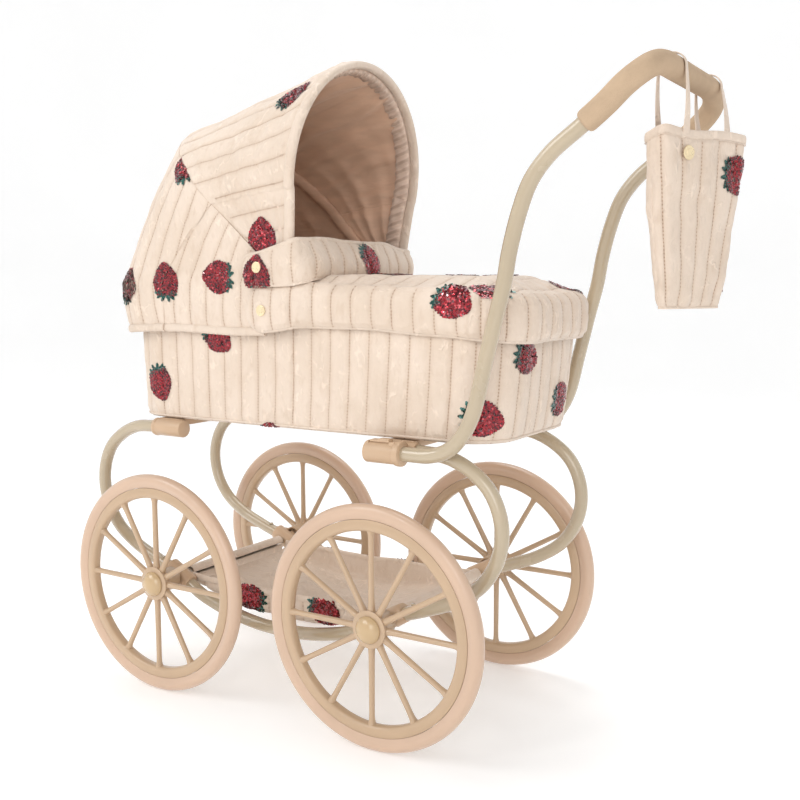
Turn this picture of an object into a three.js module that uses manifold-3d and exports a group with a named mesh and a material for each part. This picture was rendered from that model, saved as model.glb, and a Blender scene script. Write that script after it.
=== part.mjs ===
// A doll pram: two bent-tube side frames on four spoked wheels, a quilted carrycot with a
// folding hood and an apron, a push handle with a foam grip, a bag on the handle and a fabric
// basket between the axles. Millimetres, +Z up, +X towards the push handle, Y across.
// Every piece is first placed with x = 0 midway between the axles and z = 0 on the floor.
import * as THREE from 'three';
import { mergeVertices } from 'three/addons/utils/BufferGeometryUtils.js';
import Module from 'manifold-3d';

const wasm = await Module();
wasm.setup();

// ---------------------------------------------------------------- driving dimensions
const WHEEL_R = 135;
const WHEELBASE = 318;
const TRACK = 296;
const AXLE_R = 4;
const FRAME_Y = 106.5;
const FRAME_TUBE_R = 7.75;
const HANDLE_Y = 124.2;
const HANDLE_TUBE_R = 8;
const GRIP_R = 11.5;
const HUB_REACH = 26.5;
const GAP = 0.3;
const PLAN_CENTRE_X = 91.6;

const AXLE_X = WHEELBASE / 2;
const WHEEL_Y = TRACK / 2;
const TUBE_TOP_Z = 322;

// carrycot: bottom, rim, ends and half widths
const COT = { bottom: 333.6, rim: 488, head: -240, foot: 295, halfWidth: 108.5, corner: 52, wall: 5 };
// hood: pivot, and the arches of its two bows, measured from the pivot in each bow's own plane
const HOOD_PIVOT = { x: 20, z: 503 };
const HOOD_SKIN = 4;
const HOOD_EASE = 1.8;
const BOW_WIRE_R = 2.5;
const FRONT_BOW = { lean: 7, spring: 124, rise: 125.5, halfWidth: 125.5, foot: 114.5 };
const MID_BOW = { lean: -47, spring: 151, rise: 124, halfWidth: 121.5, foot: 112.2 };
const HEM_Z = 445;
// bag hanging from the grip
const BAG = {
  x: 440, y: 16, top: 649, bottom: 474, turn: -27, topWidth: 127, topDepth: 38, lowWidth: 84, lowDepth: 14,
};
const BAR = { x: 437.5, z: 702 };

const SIDES = [
  { name: 'left', sign: -1 },
  { name: 'right', sign: 1 },
];

// ---------------------------------------------------------------- colours and finishes
const finish = (color, roughness, metalness = 0) =>
  new THREE.MeshStandardMaterial({ color, roughness, metalness });
const PAINTED_TUBE = finish(0xcabd96, 0.35, 0.3);
const WHEEL_PLASTIC = finish(0xcdb491, 0.45);
const TYRE_RUBBER = finish(0xdabca0, 0.6);
const CAP_PLASTIC = finish(0xd5be91, 0.2);
const CLAMP_PLASTIC = finish(0xdcbb93, 0.45);
const FOAM = finish(0xdebe98, 0.85);
const STEEL = finish(0xc9c6be, 0.3, 0.9);
const QUILT = finish(0xeedece, 0.9);
const WEBBING = finish(0xe8d5c3, 0.9);
const SNAP_METAL = finish(0xf0d7a5, 0.3, 0.7);
const BOARD = finish(0xb99b74, 0.8);

// ---------------------------------------------------------------- geometry helpers
const rad = THREE.MathUtils.degToRad;
const at = (x, y, z) => new THREE.Vector3(x, y, z);

// Closed solid to manifold and back, for cutting and joining.
function toManifold(geometry) {
  const bare = geometry.clone();
  bare.deleteAttribute('normal');
  bare.deleteAttribute('uv');
  const merged = mergeVertices(bare, 1e-4);
  return new wasm.Manifold(new wasm.Mesh({
    numProp: 3,
    vertProperties: new Float32Array(merged.attributes.position.array),
    triVerts: new Uint32Array(merged.index.array),
  }));
}

function toGeometry(solid) {
  const mesh = solid.getMesh();
  const geometry = new THREE.BufferGeometry();
  geometry.setAttribute('position', new THREE.BufferAttribute(new Float32Array(mesh.vertProperties), 3));
  geometry.setIndex(new THREE.BufferAttribute(new Uint32Array(mesh.triVerts), 1));
  return geometry;
}

const join = (first, ...others) =>
  toGeometry(others.reduce((solid, other) => solid.add(toManifold(other)), toManifold(first)));
const cut = (first, ...others) =>
  toGeometry(others.reduce((solid, other) => solid.subtract(toManifold(other)), toManifold(first)));

function circlePoints(radius, sides) {
  return Array.from({ length: sides }, (_, k) => {
    const a = (2 * Math.PI * k) / sides;
    return new THREE.Vector2(radius * Math.cos(a), radius * Math.sin(a));
  });
}

// Solid round bar along a curve.
function tube(curve, radius, { steps, sides }) {
  const section = new THREE.Shape(circlePoints(radius, sides));
  return new THREE.ExtrudeGeometry(section, { steps, extrudePath: curve, bevelEnabled: false });
}

const straight = (from, to) => new THREE.LineCurve3(from, to);
const smooth = (points) => new THREE.CatmullRomCurve3(points, false, 'centripetal');

function box(x0, x1, y0, y1, z0, z1) {
  return new THREE.BoxGeometry(x1 - x0, y1 - y0, z1 - z0)
    .translate((x0 + x1) / 2, (y0 + y1) / 2, (z0 + z1) / 2);
}

// Round bar along Y or X between two places.
function barY(x, z, radius, y0, y1, sides = 20) {
  return new THREE.CylinderGeometry(radius, radius, Math.abs(y1 - y0), sides)
    .translate(x, (y0 + y1) / 2, z);
}
function barX(y, z, radius, x0, x1, sides = 20) {
  return new THREE.CylinderGeometry(radius, radius, x1 - x0, sides)
    .rotateZ(-Math.PI / 2).translate((x0 + x1) / 2, y, z);
}

// Skin through rings of equal point count, with flat ends.
function loft(rings) {
  const count = rings[0].length;
  const position = rings.flat().flatMap((p) => [p.x, p.y, p.z]);
  const index = [];
  for (let r = 0; r < rings.length - 1; r += 1) {
    for (let k = 0; k < count; k += 1) {
      const a = r * count + k;
      const b = r * count + ((k + 1) % count);
      index.push(a, b, b + count, a, b + count, a + count);
    }
  }
  const last = (rings.length - 1) * count;
  for (let k = 1; k < count - 1; k += 1) {
    index.push(0, k + 1, k);
    index.push(last, last + k, last + k + 1);
  }
  const geometry = new THREE.BufferGeometry();
  geometry.setAttribute('position', new THREE.Float32BufferAttribute(position, 3));
  geometry.setIndex(index);
  return geometry;
}

// Thick sheet: outer(u, v) and inner(u, v) are its two faces over a grid of cells.
function sheet(outer, inner, uCells, vCells) {
  const rings = [];
  for (let i = 0; i <= uCells; i += 1) {
    const ring = [];
    for (let j = 0; j <= vCells; j += 1) ring.push(outer(i / uCells, j / vCells));
    for (let j = vCells; j >= 0; j -= 1) ring.push(inner(i / uCells, j / vCells));
    rings.push(ring);
  }
  const count = rings[0].length;
  const width = vCells + 1;
  const position = rings.flat().flatMap((p) => [p.x, p.y, p.z]);
  const index = [];
  for (let r = 0; r < uCells; r += 1) {
    for (let k = 0; k < count; k += 1) {
      const a = r * count + k;
      const b = r * count + ((k + 1) % count);
      index.push(a, b, b + count, a, b + count, a + count);
    }
  }
  const last = uCells * count;
  for (let j = 0; j < width - 1; j += 1) {
    const [a, b, c, d] = [j, j + 1, count - 2 - j, count - 1 - j];
    index.push(a, c, b, a, d, c);
    index.push(last + a, last + b, last + c, last + a, last + c, last + d);
  }
  const geometry = new THREE.BufferGeometry();
  geometry.setAttribute('position', new THREE.Float32BufferAttribute(position, 3));
  geometry.setIndex(index);
  return geometry;
}

// Rounded rectangle in plan at height z, counter-clockwise.
function planRing(x0, x1, halfWidth, corner, z, perCorner = 5) {
  const centres = [[x1, 1, 0], [x0, 1, 90], [x0, -1, 180], [x1, -1, 270]];
  return centres.flatMap(([x, side, start]) => {
    const cx = x === x1 ? x1 - corner : x0 + corner;
    const cy = side * (halfWidth - corner);
    return Array.from({ length: perCorner + 1 }, (_, k) => {
      const a = rad(start + (90 * k) / perCorner);
      return at(cx + corner * Math.cos(a), cy + corner * Math.sin(a), z);
    });
  });
}

const pieces = new THREE.Group();
function add(name, geometry, material) {
  const mesh = new THREE.Mesh(geometry, material);
  mesh.name = name;
  pieces.add(mesh);
  return mesh;
}

// ---------------------------------------------------------------- chassis
// One bent tube a side: top end, C bend, axle, low bowed rail, and the mirror of these.
function sideFrameCurve(sign) {
  const half = [
    [165, 322], [200, 322], [229, 319.5], [256, 308], [277, 290], [289, 266], [292, 240],
    [285, 212], [267, 186], [236, 165], [202, 151], [AXLE_X, WHEEL_R], [126, 116], [94, 105],
    [58, 97], [24, 93],
  ];
  const front = half.map(([x, z]) => at(-x, sign * FRAME_Y, z));
  const rear = half.map(([x, z]) => at(x, sign * FRAME_Y, z)).reverse();
  return smooth([...front, ...rear]);
}

const FRAME_MESH = { steps: 48, sides: 8 };

function axleBore(x) {
  return barY(x, WHEEL_R, AXLE_R + GAP, -WHEEL_Y, WHEEL_Y, 12);
}

function buildSideFrames() {
  for (const { name, sign } of SIDES) {
    const frame = tube(sideFrameCurve(sign), FRAME_TUBE_R, FRAME_MESH);
    add(`side_frame_${name}`, cut(frame, axleBore(-AXLE_X), axleBore(AXLE_X)), PAINTED_TUBE);
  }
}

// Moulded bearing sleeve round the tube where the axle crosses it, with a boss to the wheel.
function buildBearings() {
  const outer = 10.8;
  const bossOuter = 8;
  const reach = 19;
  const tubeSlope = 19.5 / 36;
  for (const end of [{ name: 'front', x: -AXLE_X, way: -1 }, { name: 'rear', x: AXLE_X, way: 1 }]) {
    for (const { name, sign } of SIDES) {
      const along = at(1, 0, end.way * tubeSlope).normalize();
      const middle = at(end.x, sign * FRAME_Y, WHEEL_R);
      const from = middle.clone().addScaledVector(along, -reach);
      const to = middle.clone().addScaledVector(along, reach);
      const sleeve = tube(straight(from, to), outer, { steps: 1, sides: 12 });
      const wheelFace = sign * (WHEEL_Y - HUB_REACH - GAP);
      const boss = barY(end.x, WHEEL_R, bossOuter, sign * FRAME_Y, wheelFace, 10);
      const body = cut(
        join(sleeve, boss),
        tube(sideFrameCurve(sign), FRAME_TUBE_R + GAP, FRAME_MESH),
        axleBore(end.x),
      );
      add(`bearing_${end.name}_${name}`, largestPiece(body), CLAMP_PLASTIC);
    }
  }
}

// The biggest connected piece of a cut solid.
function largestPiece(geometry) {
  const parts = toManifold(geometry).decompose();
  return toGeometry(parts.reduce((best, part) => (part.volume() > best.volume() ? part : best)));
}

function buildAxles() {
  for (const [name, x] of [['front_axle', -AXLE_X], ['rear_axle', AXLE_X]]) {
    const end = WHEEL_Y + 4;
    add(name, barY(x, WHEEL_R, AXLE_R, -end, end, 12), STEEL);
  }
}

// Plastic clamps that hold the tube ends under the carrycot.
function buildClamps() {
  const socket = FRAME_TUBE_R + GAP;
  const padTop = COT.bottom - GAP;
  for (const { name, sign } of SIDES) {
    const y = sign * FRAME_Y;
    const [padIn, padOut] = [sign * 97, sign * 105];
    const pad = (x0, x1) => box(x0, x1, Math.min(padIn, padOut), Math.max(padIn, padOut), TUBE_TOP_Z, padTop);
    const front = cut(
      join(barX(y, TUBE_TOP_Z, 10.6, -193.5, -146.5), pad(-190, -156)),
      barX(y, TUBE_TOP_Z, socket, -210, -164.5),
    );
    add(`front_clamp_${name}`, front, CLAMP_PLASTIC);

    const handleY = sign * HANDLE_Y;
    const barrel = barX(handleY, TUBE_TOP_Z, 12, 139.5, 179, 18);
    const collar = barX(handleY, TUBE_TOP_Z, 13.6, 177, 184.6, 18);
    const inner = barX(y, TUBE_TOP_Z, 10.6, 152, 192);
    const web = box(152, 179, Math.min(y, handleY), Math.max(y, handleY), TUBE_TOP_Z - 6, TUBE_TOP_Z + 6);
    const latchY = latchSpan(sign);
    const rear = cut(
      join(barrel, collar, inner, web, pad(152, 186)),
      barX(handleY, TUBE_TOP_Z, HANDLE_TUBE_R + GAP, 145, 200, 16),
      barX(y, TUBE_TOP_Z, socket, 164.5, 210),
      box(145.5, 170.5, latchY[0] - 0.5, latchY[1] + 0.5, LATCH_FLOOR, 345),
    );
    add(`rear_clamp_${name}`, rear, CLAMP_PLASTIC);
    add(`handle_latch_${name}`, latchButton(latchY), CLAMP_PLASTIC);
  }
  add('front_crossbar', box(-192, -156, -95.4, 95.4, 326, padTop), CLAMP_PLASTIC);
  add('rear_crossbar', box(152, 186, -95.4, 95.4, 326, padTop), CLAMP_PLASTIC);
}

// Push button let into the top of each rear clamp; it frees the handle tube.
const LATCH_FLOOR = 331;
const LATCH_TRAVEL = 2;
function latchSpan(sign) {
  const ends = [sign * (HANDLE_Y - 4), sign * (HANDLE_Y + 6)];
  return [Math.min(...ends), Math.max(...ends)];
}
function latchButton([y0, y1]) {
  const low = LATCH_FLOOR + LATCH_TRAVEL + GAP;
  const outline = new THREE.Shape();
  outline.moveTo(146, low);
  outline.lineTo(170, low);
  outline.lineTo(170, low + 2.2);
  outline.quadraticCurveTo(164, low + 3.6, 158, low + 3.6);
  outline.lineTo(156, low + 2.6);
  outline.lineTo(150, low + 2.6);
  outline.quadraticCurveTo(146, low + 2.6, 146, low);
  return new THREE.ExtrudeGeometry(outline, { depth: y1 - y0, bevelEnabled: false, curveSegments: 4 })
    .rotateX(Math.PI / 2).translate(0, y1, 0);
}

// ---------------------------------------------------------------- wheels
function wheelBody() {
  const ring = [
    [106.5, -4.6], [109, -6.6], [118.6, -5.6], [118.6, 5.6], [109, 6.6], [106.5, 4.6], [106.5, -4.6],
  ].map(([r, y]) => new THREE.Vector2(r, y));
  const rim = new THREE.LatheGeometry(ring, 30);
  // hub: open cup towards the frame, flange on the outside
  const profile = [
    [4.5, -18], [11.5, -18], [11.5, -HUB_REACH], [14, -HUB_REACH], [14, -8], [17, -5], [20.5, 4.5],
    [20.5, 6.5], [4.5, 6.5], [4.5, -18],
  ].map(([r, y]) => new THREE.Vector2(r, y));
  const hub = new THREE.LatheGeometry(profile, 12);
  const spokes = 12;
  const inner = 15;
  const outer = 108;
  const parts = [hub];
  for (let k = 0; k < spokes; k += 1) {
    const spoke = new THREE.CylinderGeometry(3.5, 3, outer - inner, 5)
      .translate(0, (inner + outer) / 2, 0)
      .rotateX(Math.PI / 2)
      .rotateY((2 * Math.PI * (k + 0.5)) / spokes + Math.PI / spokes);
    parts.push(spoke);
  }
  return join(rim, ...parts);
}

function tyreBody() {
  const section = [[118.95, 4.7], [118.95, -4.7]];
  const centre = WHEEL_R - 7.5;
  const arc = Array.from({ length: 7 }, (_, k) => {
    const a = rad((224 * k) / 6 - 112);
    return [centre + 7.5 * Math.cos(a), 7.5 * Math.sin(a)];
  });
  const profile = [...arc, ...section, arc[0]].map(([r, y]) => new THREE.Vector2(r, y));
  return new THREE.LatheGeometry(profile, 30);
}

function hubCap() {
  const base = 6.5 + GAP;
  const profile = [[0, base], [16.5, base], [15.6, base + 3.2], [9.5, base + 5.8], [0, base + 6.7]]
    .map(([r, y]) => new THREE.Vector2(r, y));
  return new THREE.LatheGeometry(profile, 16);
}

function buildWheels() {
  const [body, tyre, cap] = [wheelBody(), tyreBody(), hubCap()];
  for (const [end, x] of [['front', -AXLE_X], ['rear', AXLE_X]]) {
    for (const { name, sign } of SIDES) {
      // each geometry has its outer face towards +Y, so the near side is turned round
      const turn = sign > 0 ? 0 : Math.PI;
      const place = (geometry) => geometry.clone().rotateZ(turn).translate(x, sign * WHEEL_Y, WHEEL_R);
      add(`wheel_${end}_${name}`, place(body), WHEEL_PLASTIC);
      add(`tyre_${end}_${name}`, place(tyre), TYRE_RUBBER);
      add(`hub_cap_${end}_${name}`, place(cap), CAP_PLASTIC);
    }
  }
}

// ---------------------------------------------------------------- handle
function handleCurve() {
  const side = [
    [147, 322], [190, 322], [217, 323], [237, 329.5], [252, 343], [266, 367], [279, 417],
    [291.5, 467], [300, 499], [306, 532], [316, 569], [328, 598], [347, 621], [377, 643.5],
    [401, 662], [418, 677],
  ];
  const corner = [[430, 688.5, 116], [436, 697.5, 98], [BAR.x, 701.5, 76], [BAR.x, BAR.z, 40]];
  const near = [
    ...side.map(([x, z]) => at(x, -HANDLE_Y, z)),
    ...corner.map(([x, z, y]) => at(x, -y, z)),
  ];
  const far = near.map((p) => at(p.x, -p.y, p.z)).reverse();
  return smooth([...near, at(BAR.x, 0, BAR.z), ...far]);
}

// The stretch of a curve whose points all lie above a height.
function upperStretch(curve, height) {
  const points = curve.getSpacedPoints(160).filter((p) => p.z >= height);
  return smooth(points.filter((_, k) => k % 4 === 0 || k === points.length - 1));
}

function buildHandle() {
  const curve = handleCurve();
  const mesh = { steps: 54, sides: 8 };
  add('handle_tube', tube(curve, HANDLE_TUBE_R, mesh), PAINTED_TUBE);
  const gripCurve = upperStretch(curve, 646);
  const grip = cut(
    tube(gripCurve, GRIP_R, { steps: 24, sides: 10 }),
    tube(curve, HANDLE_TUBE_R + GAP, mesh),
  );
  add('handle_grip', largestPiece(grip), FOAM);
}

// ---------------------------------------------------------------- bag on the handle
const bagTurn = (x, y, z) =>
  at(x, y, z).applyAxisAngle(at(0, 0, 1), rad(BAG.turn)).add(at(BAG.x, BAG.y, 0));

// Plan outline of the bag at height z, drawn in from the outside by inset.
function bagRing(z, inset) {
  const k = (z - BAG.bottom) / (BAG.top - BAG.bottom);
  const width = THREE.MathUtils.lerp(BAG.lowWidth, BAG.topWidth, k) / 2 - inset;
  const depth = THREE.MathUtils.lerp(BAG.lowDepth, BAG.topDepth, k) / 2 - inset;
  const corner = Math.min(8, depth - 0.5);
  return planRing(-depth, depth, width, corner, z, 3).map((p) => bagTurn(p.x, p.y, p.z));
}

// Flat webbing loop over the grip, its two ends meeting the front and back of the bag.
function bagStrap(barY0, bagY) {
  const thickness = 1.4;
  const width = 9;
  const loop = GRIP_R + 1 + thickness / 2;
  const wall = 1.5;
  const endZ = BAG.top + GAP;
  const reach = BAG.topDepth / 2 - wall;
  const across = at(0, 1, 0);
  const bagAcross = across.clone().applyAxisAngle(at(0, 0, 1), rad(BAG.turn));
  const stations = [];
  const leg = (sign, k) => {
    const low = bagTurn(sign * reach, bagY, endZ);
    const high = at(BAR.x + sign * loop, barY0, BAR.z);
    return {
      p: low.clone().lerp(high, k),
      wide: bagAcross.clone().lerp(across, k).normalize(),
      out: at(sign, 0, 0),
    };
  };
  for (const k of [0, 0.35, 0.7]) stations.push(leg(1, k));
  const turns = 8;
  for (let k = 0; k <= turns; k += 1) {
    const a = (Math.PI * k) / turns;
    const out = at(Math.cos(a), 0, Math.sin(a));
    stations.push({
      p: at(BAR.x, barY0, BAR.z).addScaledVector(out, loop),
      wide: across,
      out,
    });
  }
  for (const k of [0.7, 0.35, 0]) stations.push(leg(-1, k));
  const rings = stations.map(({ p, wide, out }) => [[1, 1], [-1, 1], [-1, -1], [1, -1]].map(([w, t]) =>
    p.clone().addScaledVector(wide, (w * width) / 2).addScaledVector(out, (t * thickness) / 2)));
  return loft(rings.map((ring) => ring.reverse()));
}

function buildBag() {
  const wall = 3;
  const outer = loft([
    bagRing(BAG.bottom, 3), bagRing(BAG.bottom + 4, 0), bagRing(560, -1), bagRing(BAG.top, 0),
  ]);
  const inner = loft([bagRing(BAG.bottom + wall, wall + 2), bagRing(560, wall - 1), bagRing(BAG.top + 5, wall)]);
  add('bag_body', cut(outer, inner), QUILT);
  add('bag_strap_left', bagStrap(-50, -29), WEBBING);
  add('bag_strap_right', bagStrap(74, 29), WEBBING);
  const snap = new THREE.CylinderGeometry(6.5, 6.5, 2, 20)
    .rotateZ(-Math.PI / 2)
    .translate(BAG.topDepth / 2 + 1.5, -29, 626);
  snap.rotateZ(rad(BAG.turn)).translate(BAG.x, BAG.y, 0);
  add('bag_snap', snap, SNAP_METAL);
}

// ---------------------------------------------------------------- basket between the axles
function buildBasket() {
  const halfWidth = 96.8;
  const wall = 3;
  const rim = 134;
  const end = 151;
  const trough = (lift, top, half, reach) => {
    const side = new THREE.Shape();
    side.moveTo(-reach, top);
    side.lineTo(-reach, 122 + lift);
    side.quadraticCurveTo(-70, 97 + lift, 0, 97 + lift);
    side.quadraticCurveTo(70, 97 + lift, reach, 122 + lift);
    side.lineTo(reach, top);
    return new THREE.ExtrudeGeometry(side, { depth: 2 * half, bevelEnabled: false, curveSegments: 8 })
      .rotateX(Math.PI / 2).translate(0, half, 0);
  };
  const tray = cut(trough(0, rim, halfWidth, end), trough(wall, rim + 10, halfWidth - wall, end - wall));
  const sleeves = [-AXLE_X, AXLE_X].map((x) => barY(x, WHEEL_R, AXLE_R + GAP + 5, -90, 90, 16));
  const clear = [-AXLE_X, AXLE_X].map((x) => barY(x, WHEEL_R, AXLE_R + GAP, -WHEEL_Y, WHEEL_Y, 16));
  const bearings = [];
  for (const { sign } of SIDES) {
    for (const x of [-AXLE_X, AXLE_X]) {
      bearings.push(box(x - 30, x + 30, sign > 0 ? 93.5 : -130, sign > 0 ? 130 : -93.5, 90, 180));
    }
  }
  add('basket_fabric', cut(join(tray, ...sleeves), ...clear, ...bearings), QUILT);
  for (const { name, sign } of SIDES) {
    for (const [place, x] of [['front', -124], ['rear', 124]]) {
      const y0 = sign * (halfWidth - wall - GAP);
      const snap = barY(x, 126, 5, y0, y0 - sign * 2, 16);
      add(`basket_snap_${place}_${name}`, snap, SNAP_METAL);
    }
  }
}

// ---------------------------------------------------------------- carrycot
function cotRing(z, inset) {
  const k = (z - COT.bottom) / (COT.rim - COT.bottom);
  const spread = 3 * k;
  return planRing(
    COT.head - spread / 2 + inset,
    COT.foot - 12 * (1 - k) ** 2 - inset,
    COT.halfWidth - 3 + spread - inset,
    COT.corner - inset,
    z,
    6,
  );
}

function buildCot() {
  const edge = 5;
  const floor = COT.bottom + 6;
  const outer = loft([
    cotRing(COT.bottom, edge), cotRing(COT.bottom + edge, 0), cotRing(410, 0), cotRing(COT.rim, 0),
  ]);
  const inner = loft([cotRing(floor, COT.wall + 2), cotRing(410, COT.wall), cotRing(COT.rim + 2, COT.wall)]);
  add('cot_body', cut(outer, inner), QUILT);
  const board = (z0, z1, inset) => loft([cotRing(z0, inset), cotRing(z1, inset)]);
  add('cot_base_board', board(floor + GAP, floor + 3, COT.wall + 5), BOARD);
  const low = floor + 3 + GAP;
  const mattress = loft([
    cotRing(low, 14), cotRing(low + 6, 11), cotRing(low + 16, 11), cotRing(low + 22, 15),
  ]);
  add('mattress', mattress, QUILT);
}

// ---------------------------------------------------------------- hood
// Point of the hood at an angle back from vertical, at a distance from the pivot axis.
const hoodPoint = (lean, reach, y) =>
  at(HOOD_PIVOT.x + reach * Math.sin(rad(lean)), y, HOOD_PIVOT.z + reach * Math.cos(rad(lean)));

// Arch in one hood plane: t runs from the left foot (0) over the top to the right foot (1).
// Straight legs rise from start to the spring line, then a round arch; power 2 is an ellipse.
function archPoint(arch, t, start) {
  const legShare = 0.2;
  const side = t < 0.5 ? -1 : 1;
  const k = t < 0.5 ? t : 1 - t;
  const low = arch.spring - 0.15 * arch.rise;
  if (k < legShare) {
    const f = k / legShare;
    const bulge = arch.foot + (arch.halfWidth * 0.975 - arch.foot) * f ** 1.5;
    return { reach: start + (low - start) * f, y: side * bulge };
  }
  const a = -0.15 + (Math.PI / 2 + 0.15) * ((k - legShare) / (0.5 - legShare));
  const [c, s] = [Math.cos(a), Math.sin(a)];
  const power = 2 / (arch.power ?? 2);
  return {
    reach: arch.spring + arch.rise * Math.sign(s) * Math.abs(s) ** power,
    y: side * arch.halfWidth * c ** power,
  };
}

function bowCurve(bow, start) {
  const steps = 32;
  return smooth(Array.from({ length: steps + 1 }, (_, k) => {
    const { reach, y } = archPoint(bow, k / steps, start);
    return hoodPoint(bow.lean, reach, y);
  }));
}

// Round bow whose ends are flattened into eyes on the pivot pin.
function hoodBow(bow) {
  const start = 38;
  const wire = tube(bowCurve(bow, start), BOW_WIRE_R, { steps: 24, sides: 6 });
  const flats = SIDES.map(({ sign }) => new THREE.BoxGeometry(7, 2, start + 6)
    .translate(0, sign * bow.foot, (start + 6) / 2)
    .rotateY(rad(bow.lean))
    .translate(HOOD_PIVOT.x, 0, HOOD_PIVOT.z));
  const eyes = SIDES.map(({ sign }) =>
    barY(HOOD_PIVOT.x, HOOD_PIVOT.z, 6, sign * (bow.foot - 1), sign * (bow.foot + 1), 16));
  const hole = barY(HOOD_PIVOT.x, HOOD_PIVOT.z, 2.4, -130, 130, 12);
  return cut(join(wire, ...flats, ...eyes), hole);
}

// Hood skin arch at a lean between the two bows, or between the middle bow and the belt line.
const BELT = { lean: -90, spring: 205, rise: 83, halfWidth: 114.5, foot: 110.5, power: 2.8 };
function skinArch(lean, inset) {
  const [a, b] = lean > MID_BOW.lean ? [FRONT_BOW, MID_BOW] : [MID_BOW, BELT];
  const k = (a.lean - lean) / (a.lean - b.lean);
  const mix = (key, fallback) => THREE.MathUtils.lerp(a[key] ?? fallback, b[key] ?? fallback, k);
  const cover = BOW_WIRE_R + HOOD_EASE + HOOD_SKIN - inset;
  return {
    spring: mix('spring'),
    rise: mix('rise') + cover,
    halfWidth: mix('halfWidth') + cover,
    foot: mix('foot') + cover,
    power: mix('power', 2),
  };
}
function hoodPanel(fromLean, toLean, cells) {
  const face = (inset) => (u, v) => {
    const lean = THREE.MathUtils.lerp(fromLean, toLean, u);
    const { reach, y } = archPoint(skinArch(lean, inset), v, 22);
    return hoodPoint(lean, reach, y);
  };
  return sheet(face(0), face(HOOD_SKIN), cells, 22);
}

// Lower edge of the hood round the head end of the cot, from the belt line to the hem.
function hoodSkirt() {
  const start = 26;
  const face = (inset) => (u, v) => {
    const arch = skinArch(BELT.lean, inset);
    const tuck = u ** 2;
    const lower = {
      ...arch,
      halfWidth: arch.halfWidth - 1.5 * tuck,
      foot: arch.foot - 0.5 * tuck,
      rise: arch.rise - 26 * tuck,
      power: arch.power + tuck,
    };
    const { reach, y } = archPoint(lower, v, start);
    return at(HOOD_PIVOT.x - reach, y, HOOD_PIVOT.z - 2 - (HOOD_PIVOT.z - 2 - HEM_Z) * u);
  };
  return sheet(face(0), face(HOOD_SKIN), 4, 22);
}

function buildHood() {
  add('hood_front_bow', hoodBow(FRONT_BOW), STEEL);
  add('hood_middle_bow', hoodBow(MID_BOW), STEEL);
  const gap = 0.3;
  add('hood_front_panel', hoodPanel(FRONT_BOW.lean + 1.5, MID_BOW.lean + gap, 5), QUILT);
  add('hood_back_panel', hoodPanel(MID_BOW.lean - gap, BELT.lean + 0.5, 4), QUILT);
  add('hood_skirt', hoodSkirt(), QUILT);
  for (const { name, sign } of SIDES) {
    const wallY = COT.halfWidth + GAP;
    const plate = [sign * wallY, sign * (wallY + 2)];
    const [y0, y1] = [Math.min(...plate), Math.max(...plate)];
    const { x, z } = HOOD_PIVOT;
    const body = join(box(x - 8, x + 8, y0, y1, 452, z), barY(x, z, 8, y0, y1, 20));
    add(`hood_bracket_${name}`, cut(body, barY(x, z, 2.4, -130, 130, 12)), CLAMP_PLASTIC);
    const shank = barY(x, z, 2, sign * (wallY - 1), sign * 116, 12);
    const head = barY(x, z, 4, sign * 115.9, sign * 117.2, 16);
    add(`hood_pin_${name}`, join(shank, head), STEEL);
  }
}

// ---------------------------------------------------------------- apron and windbreak flap
const APRON = { head: 36, foot: 309, halfWidth: 116.8, corner: 60, top: 507, hem: 443, skin: 4 };
const TAB = { inner: 125, outer: 129, end: -27 };

function buildApron() {
  const ring = (z, inset) => planRing(
    APRON.head - 80 + inset, APRON.foot - inset, APRON.halfWidth - inset, APRON.corner - inset, z, 6,
  );
  const outer = loft([ring(APRON.hem, 0), ring(486, 0), ring(499, 3), ring(APRON.top, 14)]);
  const inner = loft([ring(APRON.hem - 2, APRON.skin), ring(486, APRON.skin), ring(496, APRON.skin + 3), ring(502, 17)]);
  const headEnd = box(-60, APRON.head, -130, 130, 430, 520);
  let apron = cut(outer, inner, headEnd);
  for (const { sign } of SIDES) {
    const span = (a, b) => [Math.min(sign * a, sign * b), Math.max(sign * a, sign * b)];
    const tab = box(TAB.end + 12, APRON.head + 14, ...span(TAB.inner, TAB.outer), APRON.hem, 497);
    const round = barY(TAB.end + 24, 470, 24, sign * TAB.inner, sign * TAB.outer, 24);
    const jog = box(APRON.head, APRON.head + 14, ...span(APRON.halfWidth - 3, TAB.outer), APRON.hem, 492);
    apron = join(apron, tab, round, jog);
  }
  add('apron', apron, QUILT);
}

// Upright quilted flap across the head of the apron; its ends wrap round the hood and snap on.
function buildFlap() {
  const bend = 26;
  const front = 62;
  const plan = (half, x) => {
    const outline = new THREE.Path();
    outline.moveTo(TAB.end, -half);
    outline.lineTo(x - bend, -half);
    outline.absarc(x - bend, -half + bend, bend, -Math.PI / 2, 0);
    outline.lineTo(x, half - bend);
    outline.absarc(x - bend, half - bend, bend, 0, Math.PI / 2);
    outline.lineTo(TAB.end, half);
    return outline.getPoints(6);
  };
  const outer = plan(TAB.outer, front);
  const inner = plan(TAB.inner, front - 4).reverse();
  const band = new THREE.ExtrudeGeometry(new THREE.Shape([...outer, ...inner]), {
    depth: 40, bevelEnabled: false,
  }).translate(0, 0, 508);
  // the tab ends are lower than the middle
  const shoulder = box(-60, 2, -140, 140, 533, 560);
  add('windbreak_flap', cut(band, shoulder), QUILT);
}

function buildSnaps() {
  for (const { name, sign } of SIDES) {
    const face = sign * (TAB.outer + GAP);
    add(`flap_snap_${name}`, barY(-8, 520, 6.5, face, face + sign * 2, 20), SNAP_METAL);
    add(`apron_snap_${name}`, barY(-6, 471, 6.5, face, face + sign * 2, 20), SNAP_METAL);
  }
}

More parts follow.
